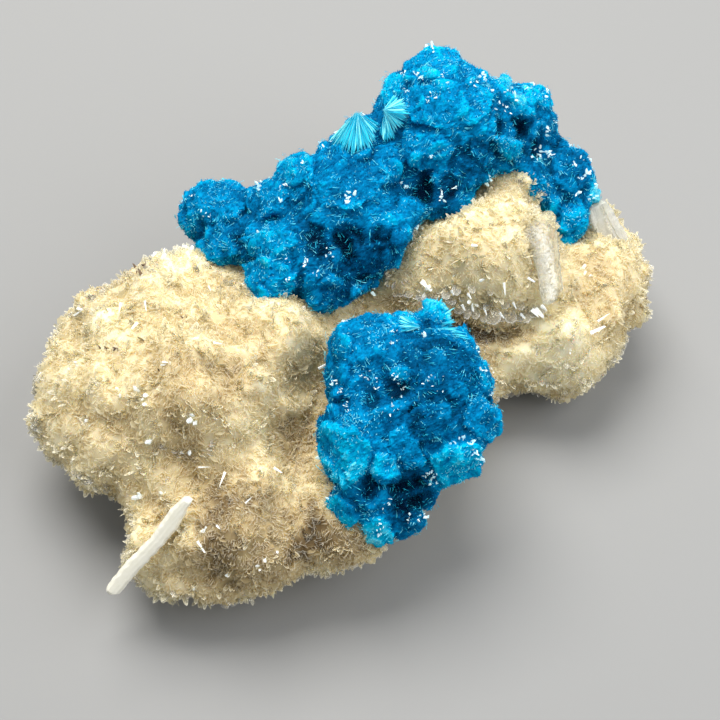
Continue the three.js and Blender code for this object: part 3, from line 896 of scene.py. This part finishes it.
dark_speck = crystal_material(
    "dark_speck", [(0.0, (0.05, 0.035, 0.02)), (1.0, (0.26, 0.17, 0.11))],
    tip=(0.30, 0.22, 0.16), tip_share=0.3, settings={"Roughness": 0.5, "Specular IOR Level": 0.3},
)
# The white tip is painted light, and the weak emission a painted glint: these crystals glow a little.
white_crystal = crystal_material(
    "white_crystal", [(0.0, (0.80, 0.84, 0.84)), (1.0, (0.98, 0.99, 0.98))],
    tip=(1.0, 1.0, 1.0), tip_share=0.5, through=0.25,
    settings={"Roughness": 0.15, "IOR": 1.5, "Emission Color": (0.9, 1.0, 1.0, 1), "Emission Strength": 0.25},
)
# The pale tip is painted light, and the weak emission a painted glint: these crystals glow a little.
icy_crystal = crystal_material(
    "icy_crystal", [(0.0, (0.60, 0.86, 0.92)), (0.5, (0.82, 0.98, 1.0)), (1.0, (0.95, 1.0, 1.0))],
    tip=(0.95, 1.0, 1.0), tip_share=0.3, through=0.25,
    settings={"Roughness": 0.15, "IOR": 1.5, "Emission Color": (0.75, 1.0, 1.0, 1), "Emission Strength": 0.3},
)
cavansite_base = crystal_material(
    "cavansite_base", CAVANSITE_TONES, settings={"Roughness": 0.7, "Specular IOR Level": 0.02},
)
# The lighter tip colour is painted light on the grains' thin ends.
cavansite = crystal_material(
    "cavansite", CAVANSITE_TONES, tip=(0.00, 0.55, 0.85), tip_share=0.4, through=0.3,
    settings={"Roughness": 0.5, "Specular IOR Level": 0.03},
)
# The lighter tip colour is painted light on the fibres' thin ends, and the weak emission a painted glow.
cavansite_fibre = crystal_material(
    "cavansite_fibre", CAVANSITE_TONES, tip=(0.10, 0.85, 0.95), tip_share=0.4,
    settings={
        "Roughness": 0.35, "Specular IOR Level": 0.15,
        "Emission Color": (0.0, 0.85, 1.0, 1), "Emission Strength": 0.07,
    },
)


# ---------------------------------------------------------------- the masses

# How the corners of a skin's triangle differ on its map, so that no triangle is a point there.
SKIN_TONES = np.array([-0.003, 0.003, 0.0])
SKIN_HEIGHTS = [0.05, 0.05, 0.12]

ROOT = 0.4  # how deep the plates and the clear tips are rooted in the crust, in mm


def skin_piece(name, surface, material, spread, shade=0, smooth=True):
    """A surface as a piece. spread is how far the tones of its triangles differ at random."""
    count = len(surface.triangles)
    tone = surface.tone[surface.triangles] + shade + spread * rng.normal(size=(count, 1))
    height = np.tile(SKIN_HEIGHTS, (count, 1))
    made = mesh_from(name, surface.points, surface.triangles, tone + SKIN_TONES[None], height, smooth)
    return piece_of(made, material)


def stilbite_mass():
    """The stilbite's skin, and its surface for the crystals."""
    mesh = closed_skin("stilbite_crust", CRUST_LUMPS, 1.6 * MM, inset=0.25 * MM, voxel=0.7 * MM, rounds=3)
    set_points(mesh, nudged(points_of(mesh), CRUST_NUDGES))
    surface = Surface(mesh, smoothing=12)
    rise, tone = spot_field(surface, CRUST_SPOTS)
    rise += waves(surface.points, (0.7 * MM, 4.5, 1), (0.2 * MM, 1.8, 2))
    set_points(mesh, grounded(surface.points + surface.outward * (rise * base_fade(surface.points))[:, None]))
    surface = Surface(mesh, smoothing=8)
    # Painted light and shade: places that bulge out are lighter and hollows darker; the spots' tones add
    # more.
    bulge_light_and_shade = np.clip(surface.bulge(25) / (0.6 * MM), -1, 1)
    surface.tone = 0.52 + tone + 0.08 * bulge_light_and_shade + waves(surface.points, (0.06, 9, 3))
    surface.tone += waves(surface.points, (0.03, 2.6, 6))
    # The skin is painted darker than the crystals on it, as shade in the gaps between them.
    skin = skin_piece("stilbite_crust_skin", surface, stilbite_skin, 0.02, shade=-0.15)
    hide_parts("stilbite_crust")
    return surface


def sheaves(surface, count, each):
    """Sheaves of parallel thin plates on a surface, as the arrays that grown takes."""
    shape = (count, each)
    low = surface.points[surface.triangles].mean(1)[:, 2]
    weight = np.where(surface.facing_up() > -0.2, 1.0, 0.6) * (low > 0.9 * MM)
    feet, outward, shade = surface.scatter(count, weight)
    axis = tilted(outward, 0.2)
    across = sideways(axis)
    thick = np.cross(axis, across)
    order = (np.arange(each) - (each - 1) / 2)[None, :, None]
    gap, slip = 0.2, 0.25  # between plates and along them, in mm
    offset = thick[:, None] * order * gap * MM
    offset = offset + across[:, None] * rng.normal(size=(*shape, 1)) * slip * MM
    along = axis[:, None] + thick[:, None] * order * 0.08 + 0.09 * rng.normal(size=(*shape, 3))
    turned = across[:, None] + 0.3 * rng.normal(size=(*shape, 3))
    width = rng.uniform(0.3, 0.85, shape) * MM
    thickness = rng.uniform(0.05, 0.09, shape) * MM
    length = rng.uniform(0.52, 0.86, shape) * MM
    large = rng.random(shape) < 0.04
    width[large] *= 1.7
    length[large] += 0.35 * MM
    sizes = np.stack([width, thickness, length], 2)
    start = feet[:, None] + offset - outward[:, None] * ROOT * MM
    tones = np.repeat(shade[:, None], each, 1) + 0.05 * rng.normal(size=shape)
    # A few plates are painted lighter at random, as glints.
    tones[rng.random(shape) < 0.05] += 0.2
    tones += 0.04
    return [part.reshape(-1, 3) for part in (start, along, turned, sizes)] + [tones.ravel()]


def fans_of_crystals(surface, count, each):
    """Sheaves of larger half-clear crystals that spread out of the crust."""
    middles, outward, shade = surface.scatter(count, surface.facing_up() > -0.6)
    way = sideways(outward)
    half, root = 0.45, 0.5  # half of a fan's width at its foot, and how deep it is rooted, in mm
    spread = np.linspace(-1, 1, each)[None, :, None] + 0.15 * rng.normal(size=(count, each, 1))
    feet = middles[:, None] + way[:, None] * spread * half * MM - outward[:, None] * root * MM
    along = outward[:, None] + way[:, None] * spread * 0.65 + 0.18 * rng.normal(size=feet.shape)
    across = way[:, None] + 0.5 * rng.normal(size=feet.shape)
    total = count * each
    widths = rng.uniform(0.4, 0.9, total)
    sizes = np.stack([widths, 0.2 * widths, rng.uniform(1.05, 1.75, total)], 1) * MM
    tones = np.repeat(shade, each) + rng.uniform(0.0, 0.3, total)
    ways = [part.reshape(-1, 3) for part in (feet, along, across)]
    grow("stilbite_fans", fan_crystal, "stilbite_cream", lens_shape(LEAF_OUTLINE), *ways, sizes, tones)


def strands(surface, count, each):
    """Sheaves of fine lines over the plates, as on crystals seen along their length: the light lines are
    painted highlights on crystal edges, the dark ones painted shade between them.
    """
    middles, outward, shade = surface.scatter(count, surface.facing_up() > -0.4)
    way = sideways(outward)
    apart = np.cross(way, outward)
    half, slip = 0.42, 0.25  # half of a sheaf's width, and how far its lines slip along each other, in mm
    spread = np.linspace(-1, 1, each)[None, :, None]
    shift = way[:, None] * rng.normal(size=(count, each, 1)) * slip * MM
    feet = middles[:, None] + apart[:, None] * spread * half * MM + shift
    feet = feet + outward[:, None] * rng.uniform(0.12, 0.34, (count, each, 1)) * MM
    rise = outward[:, None] * rng.uniform(-0.05, 0.4, (count, each, 1))
    along = shaken(way[:, None] + apart[:, None] * spread * 0.35 + rise, 0.12).reshape(-1, 3)
    total = count * each
    width = rng.uniform(0.045, 0.085, total)
    sizes = np.stack([width, np.ones(total), rng.uniform(0.35, 1.0, total)], 1) * MM
    # Most lines are painted highlights, the rest painted shade.
    light = rng.random(total) < 0.7
    tones = np.repeat(shade, each) + np.where(light, rng.uniform(0.15, 0.45, total), -0.22)
    across = shaken(np.cross(along, np.repeat(outward, each, 0)), 0.4)
    ways = (feet.reshape(-1, 3), along, across)
    grow("stilbite_strands", stilbite_plate, "stilbite_cream", ribbon_shape(), *ways, sizes, tones)


def stilbite_plates(parts):
    """The sheaves' plates as three pieces, by where they stand."""
    start = parts[0]
    zones = {"left": start[:, 0] < -19 * MM, "right": start[:, 0] > 8 * MM}
    zones["middle"] = ~(zones["left"] | zones["right"])
    for name, chosen in zones.items():
        some = [part[chosen] for part in parts]
        grow("stilbite_plates_" + name, stilbite_plate, "stilbite_cream", plate_shape(), *some)


def clear_tips(surface, lines, single, scattered):
    """Larger clear crystals that stand out of the crust, their broad faces about towards the camera. They
    follow lines seen in the photograph, stand anywhere, or stand one by one where they are seen."""
    tips = Crystals()
    for line, count, size in lines:
        for _ in range(count):
            x, y = shaken(random_spot(np.array(line)), 2.5)
            place, out = surface.seen_at(x, y)
            way = shaken(out, 0.3)
            width = size * MM * rng.uniform(0.65, 1.1)
            thickness = width * rng.uniform(0.3, 0.45)
            length = (0.7 + 0.5 * size * rng.uniform(0.5, 1.0)) * MM
            tips.add(place - out * ROOT * MM, way, width, thickness, length)
    places, outward, _ = surface.scatter(scattered, surface.facing_up() > -0.4)
    for place, out in zip(places, outward):
        way = shaken(out, 0.45)
        width = rng.uniform(0.45, 1.0) * MM
        tips.add(place - out * ROOT * MM, way, width, width * 0.36, rng.uniform(0.85, 1.3) * MM)
    for x, y, wide, long, turn in single:
        place, out = surface.seen_at(x, y)
        lean = math.radians(turn)
        way = np.array(RIGHTWARD * -math.sin(lean) - UPWARD * math.cos(lean)) + 0.55 * out
        tips.add(place - out * 0.3 * MM, way, wide * PIXEL, wide * PIXEL * 0.36, long * PIXEL * 1.15)
    feet, along, sizes = tips.arrays()
    tones = rng.uniform(0, 1, len(feet))
    across = shaken(unit(np.cross(along, np.array(AHEAD))), 0.25)
    grow("clear_tips", clear_tip, "zeolite_clear", lens_shape(), feet, along, across, sizes, tones)


def cavansite_surface(node, lumps, nudges, chunks, hollows, hidden, caps, seed, middle_tone):
    """The surface of a cavansite mass. hidden and caps are how many chunks its hidden sides and how many low
    caps it gets, seed picks its noises, and middle_tone is the tone that the others are added to."""
    mesh = closed_skin(node, lumps, 0.8 * MM, inset=0.7 * MM, voxel=0.5 * MM, rounds=2)
    set_points(mesh, nudged(points_of(mesh), nudges))
    surface = Surface(mesh, smoothing=14)
    sink, shade = spot_field(surface, [(x, y, r, -depth, tone) for x, y, r, depth, tone in hollows])
    solids, spots = seen_chunks(surface, chunks)
    more, others = hidden_chunks(surface, hidden, spots)
    set_points(mesh, surface.points + surface.outward * sink[:, None])
    mesh = evaluated(joined(mesh, solids + more), [voxels(0.32 * MM)])
    chunky = Surface(mesh, smoothing=3)
    centres, _, _ = chunky.scatter(caps)
    radii = rng.uniform(0.6, 1.9, caps) * MM
    leans = 0.3 * rng.normal(size=(caps, 3))
    rise = tilted_caps(chunky.points, centres, radii, radii * rng.uniform(0.0, 0.07, caps), leans)
    rise += waves(chunky.points, (0.28 * MM, 1.5, seed + 3), (0.13 * MM, 0.6, seed))
    rise += 0.05 * MM * rng.normal(size=len(rise))
    set_points(mesh, chunky.points + chunky.outward * (rise * base_fade(chunky.points))[:, None])
    made = Surface(mesh, smoothing=2)
    nearest = [surface.tree.find_nearest(Vector(p))[2] for p in made.points]
    tone = shade[surface.triangles[nearest, 0]]
    for centre, radius, extra in spots + others:
        far = np.linalg.norm(made.points - centre, axis=1) / radius
        tone += extra * np.clip((1.3 - far) / 0.5, 0, 1)
    # Painted light and shade: places that bulge out are lighter and hollows darker, at a fine and a broad
    # scale.
    fine = np.clip(made.bulge(6) / (0.15 * MM), -1, 1)
    broad = np.clip(made.bulge(40) / (0.8 * MM), -1, 1)
    patches = waves(made.points, (0.07, 6, seed + 1), (0.05, 1.6, seed + 2))
    made.tone = middle_tone + tone + 0.09 * fine + 0.12 * broad + patches
    return made


def cavansite_mass(node, name, surface, count):
    """The skin of a cavansite mass, and its short grains in two pieces."""
    skin = skin_piece(name + "_skin", surface, cavansite_base, 0.03, smooth=False)
    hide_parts(node)
    feet, outward, shade = surface.scatter(count)
    along = tilted(outward, 0.4)
    width = rng.uniform(0.09, 0.16, count) * MM
    sizes = np.stack([width, width * rng.uniform(0.6, 1.0, count), rng.uniform(0.26, 0.44, count) * MM], 1)
    tones = shade + 0.07 * rng.normal(size=count)
    glints = rng.random(count) < 0.05 * np.clip(1 + 2 * noises(feet, 2.5 * MM, 7), 0, 3)
    tones[glints] += rng.uniform(0.3, 0.6, glints.sum())
    sizes[glints] *= 1.3
    parts = (feet - outward * 0.12 * MM, along, sideways(along), sizes, tones)
    left = feet[:, 0] < np.median(feet[:, 0])
    for side, chosen in (("_left", left), ("_right", ~left)):
        some = [part[chosen] for part in parts]
        grow(name + "_grains" + side, cavansite, "cavansite_blue", grain_shape(), *some)


def turned_away(surface, count):
    """Random places on the sides that the photograph doesn't show, with their outward directions."""
    places, outward, _ = surface.scatter(count)
    away = (outward * unit(EYE_PLACE - places)).sum(1) < TURNED_AWAY
    away &= places[:, 2] > 3 * MM
    return list(zip(places[away], outward[away]))


def groups_on(name, surface, groups, shape, material, lift, hidden, slot="stilbite_white"):
    """Groups of small crystals on a surface: those seen in the photograph, and some on the hidden sides. lift
    is how far they stand out of it, and hidden how many places are tried for the hidden ones."""
    crystals = Crystals()
    for place, out in turned_away(surface, hidden):
        for _ in range(4):
            foot = shaken(place, 0.3 * MM) - out * lift * 0.4
            way = shaken(out, 0.5)
            width = rng.uniform(0.18, 0.42) * MM
            crystals.add(foot, way, width, width * 0.7, lift + width * rng.uniform(0.7, 1.3))
    for x, y, count, reach, size in groups:
        for _ in range(count):
            right, down = rng.normal(size=2) * reach * 0.5
            place, out = surface.seen_at(x + right, y + down)
            way = shaken(out, 0.5)
            width = size * MM * rng.uniform(0.4, 1.1)
            thickness = width * rng.uniform(0.5, 0.9)
            length = lift + width * rng.uniform(0.7, 1.3)
            crystals.add(place - out * lift * 0.4, way, width, thickness, length)
    feet, along, sizes = crystals.arrays()
    tones = rng.uniform(0.0, 1.0, len(feet))
    grow(name, material, slot, shape, feet, along, sideways(along), sizes, tones)


def glint_rods(name, surface, ends):
    """White rods that lie on a surface, mostly painted highlights set where glints are seen."""
    crystals = Crystals()
    for start, stop, width in ends:
        first, out = surface.seen_at(*start)
        last, _ = surface.seen_at(*stop)
        first, last = first + out * 0.5 * MM, last + out * 1.1 * MM
        crystals.add(first, last - first, width * MM, width * MM * 0.8, np.linalg.norm(last - first))
    feet, along, sizes = crystals.arrays()
    tones = np.full(len(feet), 0.9)
    grow(name, white_crystal, "stilbite_white", needle_shape(), feet, along, sideways(along), sizes, tones)


def beside(x, y, place):
    """The point under a pixel of the photograph that is as far from the camera as a place."""
    way = sight(x, y)
    return np.array(EYE + way * ((Vector(place) - EYE).dot(AHEAD) / way.dot(AHEAD)))


def fans(name, surface, groups):
    """Fans of fibres that spring from one place and end along a line on the surface."""
    fibres, tones = Crystals(), []
    for start, line, count, lift, tone in groups:
        stops, out = surface.seen_along(line)
        nearer = np.array((EYE - Vector(stops[0])).normalized())
        stops = stops + nearer * 0.3 * MM
        foot = beside(*start, stops[len(stops) // 2]) + nearer * lift * MM
        for _ in range(count):
            way = (random_spot(stops) - foot + out * rng.uniform(-0.3, 0.6) * MM) * rng.uniform(0.8, 1.1)
            root = shaken(foot, 0.12 * MM)
            width = rng.uniform(0.08, 0.22) * MM
            fibres.add(root, way, width, width, np.linalg.norm(way))
            tones.append(tone - 0.13 + 0.35 * rng.random() ** 3)
    feet, along, sizes = fibres.arrays()
    tones = np.array(tones)
    grow(name, cavansite_fibre, "cavansite_blue", spindle_shape(), feet, along, sideways(along), sizes, tones)


def sparkles(name, surface, count):
    """Bright lines where fibres that lie along the surface catch the light, thick in some places and rare in
    others."""
    feet, outward, shade = surface.scatter(count)
    kept = noises(feet, 2.0 * MM, 9) + 0.12 * rng.normal(size=count) > 0.22
    feet, outward, shade = feet[kept], outward[kept], shade[kept]
    count = len(feet)
    along = sideways(outward) + outward * rng.uniform(-0.1, 0.4, (count, 1))
    sizes = np.stack([rng.uniform(0.035, 0.07, count), np.ones(count), rng.uniform(0.12, 0.4, count)], 1) * MM
    feet = feet + outward * rng.uniform(0.12, 0.24, (count, 1)) * MM
    across = shaken(np.cross(along, outward), 0.4)
    tones = shade + rng.uniform(0.32, 0.55, count)
    grow(name, cavansite_fibre, "cavansite_blue", ribbon_shape(), feet, along, across, sizes, tones)


def threads(name, surface, count, each):
    """Small sheaves of pale fibres that lie along the surface."""
    middles, outward, _ = surface.scatter(count)
    way = sideways(outward)
    apart = np.cross(way, outward)
    half, slip, lift = 0.5, 0.3, 0.16  # as for strands, and how high they lie, in mm
    spread = (rng.random((count, each, 1)) - 0.5) * 2
    shift = way[:, None] * rng.normal(size=(count, each, 1)) * slip * MM
    feet = middles[:, None] + apart[:, None] * spread * half * MM + shift
    rise = outward[:, None] * rng.uniform(0.0, 0.3, (count, each, 1))
    along = (way[:, None] + apart[:, None] * spread * 0.35 + rise).reshape(-1, 3)
    feet = (feet + outward[:, None] * lift * MM).reshape(-1, 3)
    total = count * each
    width = rng.uniform(0.04, 0.075, total) * MM
    sizes = np.stack([width, width, rng.uniform(0.4, 1.2, total) * MM], 1)
    across = sideways(along)
    tones = rng.uniform(0.66, 0.96, total)
    grow(name, cavansite_fibre, "cavansite_blue", spindle_shape(), feet, along, across, sizes, tones)


# The cavansite masses. draws is the seed of their random draws, and form what cavansite_surface takes. The
# rest is how many grains, threads and sparkles they get, their white groups and their fans.
CAVANSITE = {
    "ridge": {
        "draws": 41,
        "form": {
            "lumps": RIDGE_LUMPS, "nudges": RIDGE_NUDGES, "chunks": RIDGE_CHUNKS, "hollows": RIDGE_HOLLOWS,
            "hidden": 110, "caps": 420, "seed": 5, "middle_tone": 0.465,
        },
        "grains": 62000, "whites": RIDGE_WHITES, "hidden_whites": 90,
        "fans": RIDGE_FANS, "threads": 640, "sparkles": 18000,
    },
    "cluster": {
        "draws": 12,
        "form": {
            "lumps": CLUSTER_LUMPS, "nudges": CLUSTER_NUDGES,
            "chunks": CLUSTER_CHUNKS, "hollows": CLUSTER_HOLLOWS,
            "hidden": 30, "caps": 150, "seed": 9, "middle_tone": 0.42,
        },
        "grains": 28000, "whites": CLUSTER_WHITES, "hidden_whites": 50,
        "fans": CLUSTER_FANS, "threads": 200, "sparkles": 9000,
    },
}

rng = np.random.default_rng(STILBITE_DRAWS)
crust = stilbite_mass()
stilbite_plates(sheaves(crust, count=10200, each=5))
strands(crust, count=2600, each=5)
fans_of_crystals(crust, count=820, each=5)
clear_tips(crust, CRUST_ENDS, CRUST_GLASS, scattered=60)
groups_on(
    "crust_specks", crust, CRUST_SPECKS, needle_shape(), dark_speck,
    lift=0.5 * MM, hidden=25, slot="stilbite_cream",
)
groups_on("crust_whites", crust, CRUST_WHITES, lens_shape(), white_crystal, lift=0.4 * MM, hidden=40)
glint_rods("crust_rods", crust, CRUST_GLINT_RODS)
for name, kind in CAVANSITE.items():
    rng = np.random.default_rng(kind["draws"])
    node = "cavansite_" + name
    mass = cavansite_surface(node, **kind["form"])
    cavansite_mass(node, name, mass, kind["grains"])
    groups_on(
        name + "_whites", mass, kind["whites"], needle_shape(), icy_crystal,
        lift=0.2 * MM, hidden=kind["hidden_whites"],
    )
    fans(name + "_fans", mass, kind["fans"])
    threads(name + "_threads", mass, kind["threads"], each=5)
    sparkles(name + "_sparkles", mass, kind["sparkles"])


# ---------------------------------------------------------------- the single crystals

# Each crystal's outline is (across, along) from its foot, all in mm. It runs towards one way, and its broad
# face looks about the way of facing. profile is how its thickness changes across it, as places and shares,
# ridges how high the relief of its faces is, and ends how far from its two ends it starts to get thinner.
SINGLES = {
    "white_stilbite_blade": {
        "outline": [
            (0.1, 0.1), (1.0, 1.0), (1.1, 1.9), (1.0, 3.5), (1.1, 6.4), (1.25, 9.6), (1.25, 12.1),
            (1.0, 13.5), (0.6, 15.1), (0.4, 16.3), (-0.1, 16.3), (-0.6, 15.7), (-0.7, 14.6), (-0.85, 13.4),
            (-0.65, 11.2), (-0.45, 9.5), (-0.55, 7.7), (-0.7, 5.7), (-0.8, 4.4), (-0.75, 2.5), (-0.65, 0.8),
            (-0.4, 0.3),
        ],
        "foot": (-30.2, -31, 9.5),
        "towards": (9.9, 7.3, 9.5),
        "facing": (0.15, -0.62, 0.78),
        "thickness": 1.3,
        "profile": ((0, 0.1, 0.2, 0.5, 0.8, 0.9, 1), (0.35, 0.72, 0.86, 0.92, 0.86, 0.72, 0.35)),
        "ridges": 0.012,
        "ends": 0.5,
        "slot": "stilbite_white",
    },
    "clear_stilbite_blade": {
        "outline": [
            (-0.06, 1.85), (-0.82, 2.3), (-1.05, 3.76), (-0.87, 5.33), (-1.03, 7.06), (-1.28, 8.79),
            (-1.97, 10.03), (-2.46, 10.86), (-2.32, 11.65), (-1.4, 12.53), (-0.36, 13.2), (0.56, 13.42),
            (1.31, 14.25), (2.16, 14.27), (2.71, 13.36), (2.5, 11.89), (2.47, 10.29), (2.37, 8.69),
            (2.15, 7.11), (2.12, 5.38), (2.02, 3.8), (1.46, 3.25), (0.72, 2.31),
        ],
        "foot": (24.5, 2.5, 19.5),
        "towards": (-2, 12.7, 6),
        "facing": (0.3, -0.5, 0.8),
        "thickness": 1.7,
        "profile": ((0, 0.08, 0.4, 0.66, 0.7, 0.96, 1), (0.4, 0.7, 0.88, 0.95, 0.9, 0.55, 0.3)),
        "ridges": 0.04,
        "ends": 0.5,
        "slot": "zeolite_clear",
    },
    "clear_end_crystal": {
        "outline": [
            (-2.3, 0), (2.6, 0), (2.55, 3.5), (1.95, 5.6), (1.3, 7.7), (0.8, 9.9), (0.2, 11.3),
            (-0.6, 11.7), (-2.1, 11.7), (-2.8, 10.9), (-3.0, 9.9), (-3.0, 8.9), (-2.7, 7), (-2.5, 5.6),
        ],
        "foot": (36.5, 17.5, 9.5),
        "towards": (-0.32, 0.5, 0.8),
        "facing": (0.4, -0.7, 0.6),
        "thickness": 2.4,
        "profile": (
            (0, 0.04, 0.46, 0.52, 0.58, 0.64, 0.95, 1),
            (0.4, 0.6, 0.86, 0.96, 0.70, 0.84, 0.62, 0.35),
        ),
        "ridges": 0.035,
        "ends": 0.35,
        "slot": "zeolite_clear",
    },
}


def edges_at(outline, height):
    """The lowest and highest place across an outline at a height along it."""
    found = []
    for (x0, y0), (x1, y1) in zip(outline, outline[1:] + outline[:1]):
        if min(y0, y1) <= height <= max(y0, y1) and y0 != y1:
            found.append(x0 + (x1 - x0) * (height - y0) / (y1 - y0))
    return min(found), max(found)


def single_crystal(node, rows=70, columns=26):
    """A long flat crystal with ridges along its faces, as points, faces and each point's place across and
    along it. Each row is a ring round it, with columns points on each of its two faces."""
    kind = SINGLES[node]
    outline = kind["outline"]
    low, high = min(y for _, y in outline), max(y for _, y in outline)
    along = Vector(kind["towards"]).normalized()
    across = along.cross(Vector(kind["facing"])).normalized()
    out = across.cross(along)
    points, places = [], []
    for row in range(rows):
        height = low + (high - low) * (0.01 + 0.98 * row / (rows - 1))
        taper = min(1, (0.25 + min(height - low, high - height) / kind["ends"]) * 0.8)
        left, right = edges_at(outline, height)
        for step in range(2 * columns):
            front = step < columns
            share = (step if front else 2 * columns - 1 - step) / (columns - 1)
            x = left + (right - left) * share
            flat = np.interp(share, *kind["profile"])
            # Long ridges and a finer grain, other ones on each face, then a slow wander to the sides.
            grain = noise.noise(Vector((x * 4.2, height * 0.06, 7 if front else 31)))
            fine = noise.noise(Vector((x * 9, height * 0.5, 3 if front else 17)))
            thick = kind["thickness"] * flat * 0.6 * taper + kind["ridges"] * (grain * 1.6 + fine * 0.6)
            x += 0.12 * noise.noise(Vector((height * 1.3, 5 * share, 2)))
            place = Vector(kind["foot"]) + across * x + along * height + out * (thick if front else -thick)
            points.append((place * MM)[:])
            places.append((share, row / (rows - 1)))
    around = 2 * columns
    top = (rows - 1) * around
    faces = []
    for start in range(0, top, around):
        for step in range(around):
            a, b = start + step, start + (step + 1) % around
            faces += [(a, b, b + around), (a, b + around, a + around)]
    for base, turn in ((0, 1), (top, -1)):
        faces += [(base, base + c, base + c + 1)[::-turn] for c in range(1, around - 1)]
    return np.array(points), np.array(faces), np.array(places)


def clear_material(name, tones, roughness, transmission, ior, bump_depth, frost, clear_end):
    """A pale crystal with milky veils along it and fine frosting. tones run from its clear substance to its
    veils, frost is how much frosting there is across it, and clear_end where along it the frosting ends."""
    material, tree, shader = new_material(name)
    where = tree.nodes.new("ShaderNodeTexCoord").outputs["Object"]

    def cells(size, **settings):
        made = tree.nodes.new("ShaderNodeTexNoise")
        for socket, value in {"Scale": 1 / size, **settings}.items():
            made.inputs[socket].default_value = value
        tree.links.new(where, made.inputs["Vector"])
        return made.outputs["Fac"]

    def times(first, second):
        made = tree.nodes.new("ShaderNodeMath")
        made.operation = "MULTIPLY"
        tree.links.new(first, made.inputs[0])
        tree.links.new(second, made.inputs[1])
        return made.outputs[0]

    veil = cells(2.2 * MM, Detail=6, Roughness=0.6, Distortion=0.8)
    speck = cells(0.24 * MM, Detail=2, Roughness=0.7, Distortion=0.4)
    shades = ramp(tree, veil, [(0.35, tones[0]), (0.65, tones[1])])
    across, along = map_axes(tree)
    frosted = times(ramp(tree, speck, greys((0.42, 0), (0.55, 1))), ramp(tree, across, greys(*frost)))
    amount = times(frosted, ramp(tree, along, greys((clear_end - 0.06, 1), (clear_end + 0.04, 0.1))))
    tree.links.new(mixed(tree, amount, shades, tones[2]), shader.inputs["Base Color"])
    shader.inputs["Roughness"].default_value = roughness
    shader.inputs["IOR"].default_value = ior
    clear = ramp(tree, amount, greys((0.0, transmission), (1.0, transmission * 0.15)))
    tree.links.new(clear, shader.inputs["Transmission Weight"])
    bump = tree.nodes.new("ShaderNodeBump")
    bump.inputs["Strength"].default_value = 0.6
    bump.inputs["Distance"].default_value = bump_depth
    tree.links.new(speck, bump.inputs["Height"])
    tree.links.new(bump.outputs["Normal"], shader.inputs["Normal"])
    return material


SINGLE_MATERIALS = {
    "white_stilbite_blade": clear_material(
        "milky_blade", tones=[(0.86, 0.83, 0.68), (0.93, 0.90, 0.77), (0.97, 0.95, 0.86)],
        roughness=0.4, transmission=0.05, ior=1.5, bump_depth=0.01 * MM,
        frost=[(0, 0.5), (0.3, 0.15), (0.7, 0.15), (1, 0.5)], clear_end=0.9,
    ),
    "clear_stilbite_blade": clear_material(
        "frosty_blade", tones=[(0.88, 0.88, 0.79), (0.95, 0.95, 0.88), (1.0, 1.0, 0.96)],
        roughness=0.07, transmission=0.9, ior=1.22, bump_depth=0.1 * MM,
        frost=[(0, 0.12), (0.2, 0.3), (0.45, 0.65), (0.6, 0.5), (0.72, 0.08), (1, 0.15)], clear_end=0.84,
    ),
    "clear_end_crystal": clear_material(
        "clear_crystal", tones=[(0.86, 0.86, 0.78), (0.95, 0.95, 0.89), (1.0, 1.0, 0.98)],
        roughness=0.12, transmission=0.5, ior=1.35, bump_depth=0.02 * MM,
        frost=[(0, 0.3), (0.44, 0.1), (0.5, 0.9), (0.56, 0.1), (1, 0.35)], clear_end=0.9,
    ),
}


def make_singles():
    for node, kind in SINGLES.items():
        points, faces, places = single_crystal(node)
        made = mesh_from(node + "_detail", points, faces, places[faces][:, :, 0], places[faces][:, :, 1])
        shell = bmesh.new()
        shell.from_mesh(made)
        bmesh.ops.recalc_face_normals(shell, faces=shell.faces)
        shell.to_mesh(made)
        shell.free()
        piece = piece_of(made, SINGLE_MATERIALS[node])
        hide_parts(node)


make_singles()


# ---------------------------------------------------------------- stage

FLOOR_CORNERS = [(-0.8, -0.8, 0), (0.8, -0.8, 0), (0.8, 0.8, 0), (-0.8, 0.8, 0)]
FLOOR_COLOUR = (0.30, 0.30, 0.295, 1)
FLOOR_ROUGHNESS = 0.85
SKY_COLOUR = (0.92, 0.96, 1.0, 1)
SKY_STRENGTH = 0.41

# The lights, as (name, place, side, watts, colour).
LIGHTS = [
    ("key", (-0.07, 0.17, 0.43), 0.32, 3.0, (1.0, 0.98, 0.95)),
    ("fill", (0.32, -0.08, 0.32), 0.4, 1.3, (0.97, 0.98, 1.0)),
]


def make_floor():
    mesh = bpy.data.meshes.new("floor")
    mesh.from_pydata(FLOOR_CORNERS, [], [(0, 1, 2, 3)])
    floor = put_in_scene("floor", mesh)
    material, _, shader = new_material("floor")
    shader.inputs["Base Color"].default_value = FLOOR_COLOUR
    shader.inputs["Roughness"].default_value = FLOOR_ROUGHNESS
    mesh.materials.append(material)


def area_light(name, place, side, watts, colour):
    """A square light that looks at the specimen."""
    data = bpy.data.lights.new(name, "AREA")
    data.shape = "SQUARE"
    data.size = side
    data.energy = watts
    data.color = colour
    light = put_in_scene(name, data)
    light.location = place
    light.rotation_euler = (TARGET - Vector(place)).to_track_quat("-Z", "Y").to_euler()


def make_camera():
    data = bpy.data.cameras.new("camera")
    data.sensor_width = SENSOR_MM
    data.lens = FOCAL_PIXELS / PHOTO_SIDE * SENSOR_MM
    data.clip_start = 10 * MM
    camera = put_in_scene("camera", data)
    camera.location = EYE
    camera.rotation_euler = (math.pi / 2 - ELEVATION, 0, 0)
    bpy.context.scene.camera = camera


def make_world():
    world = bpy.data.worlds.new("world")
    world.use_nodes = True
    sky = world.node_tree.nodes["Background"]
    sky.inputs["Color"].default_value = SKY_COLOUR
    sky.inputs["Strength"].default_value = SKY_STRENGTH
    bpy.context.scene.world = world


make_floor()
for light in LIGHTS:
    area_light(*light)
make_camera()
make_world()
bpy.context.scene.view_settings.view_transform = "Standard"
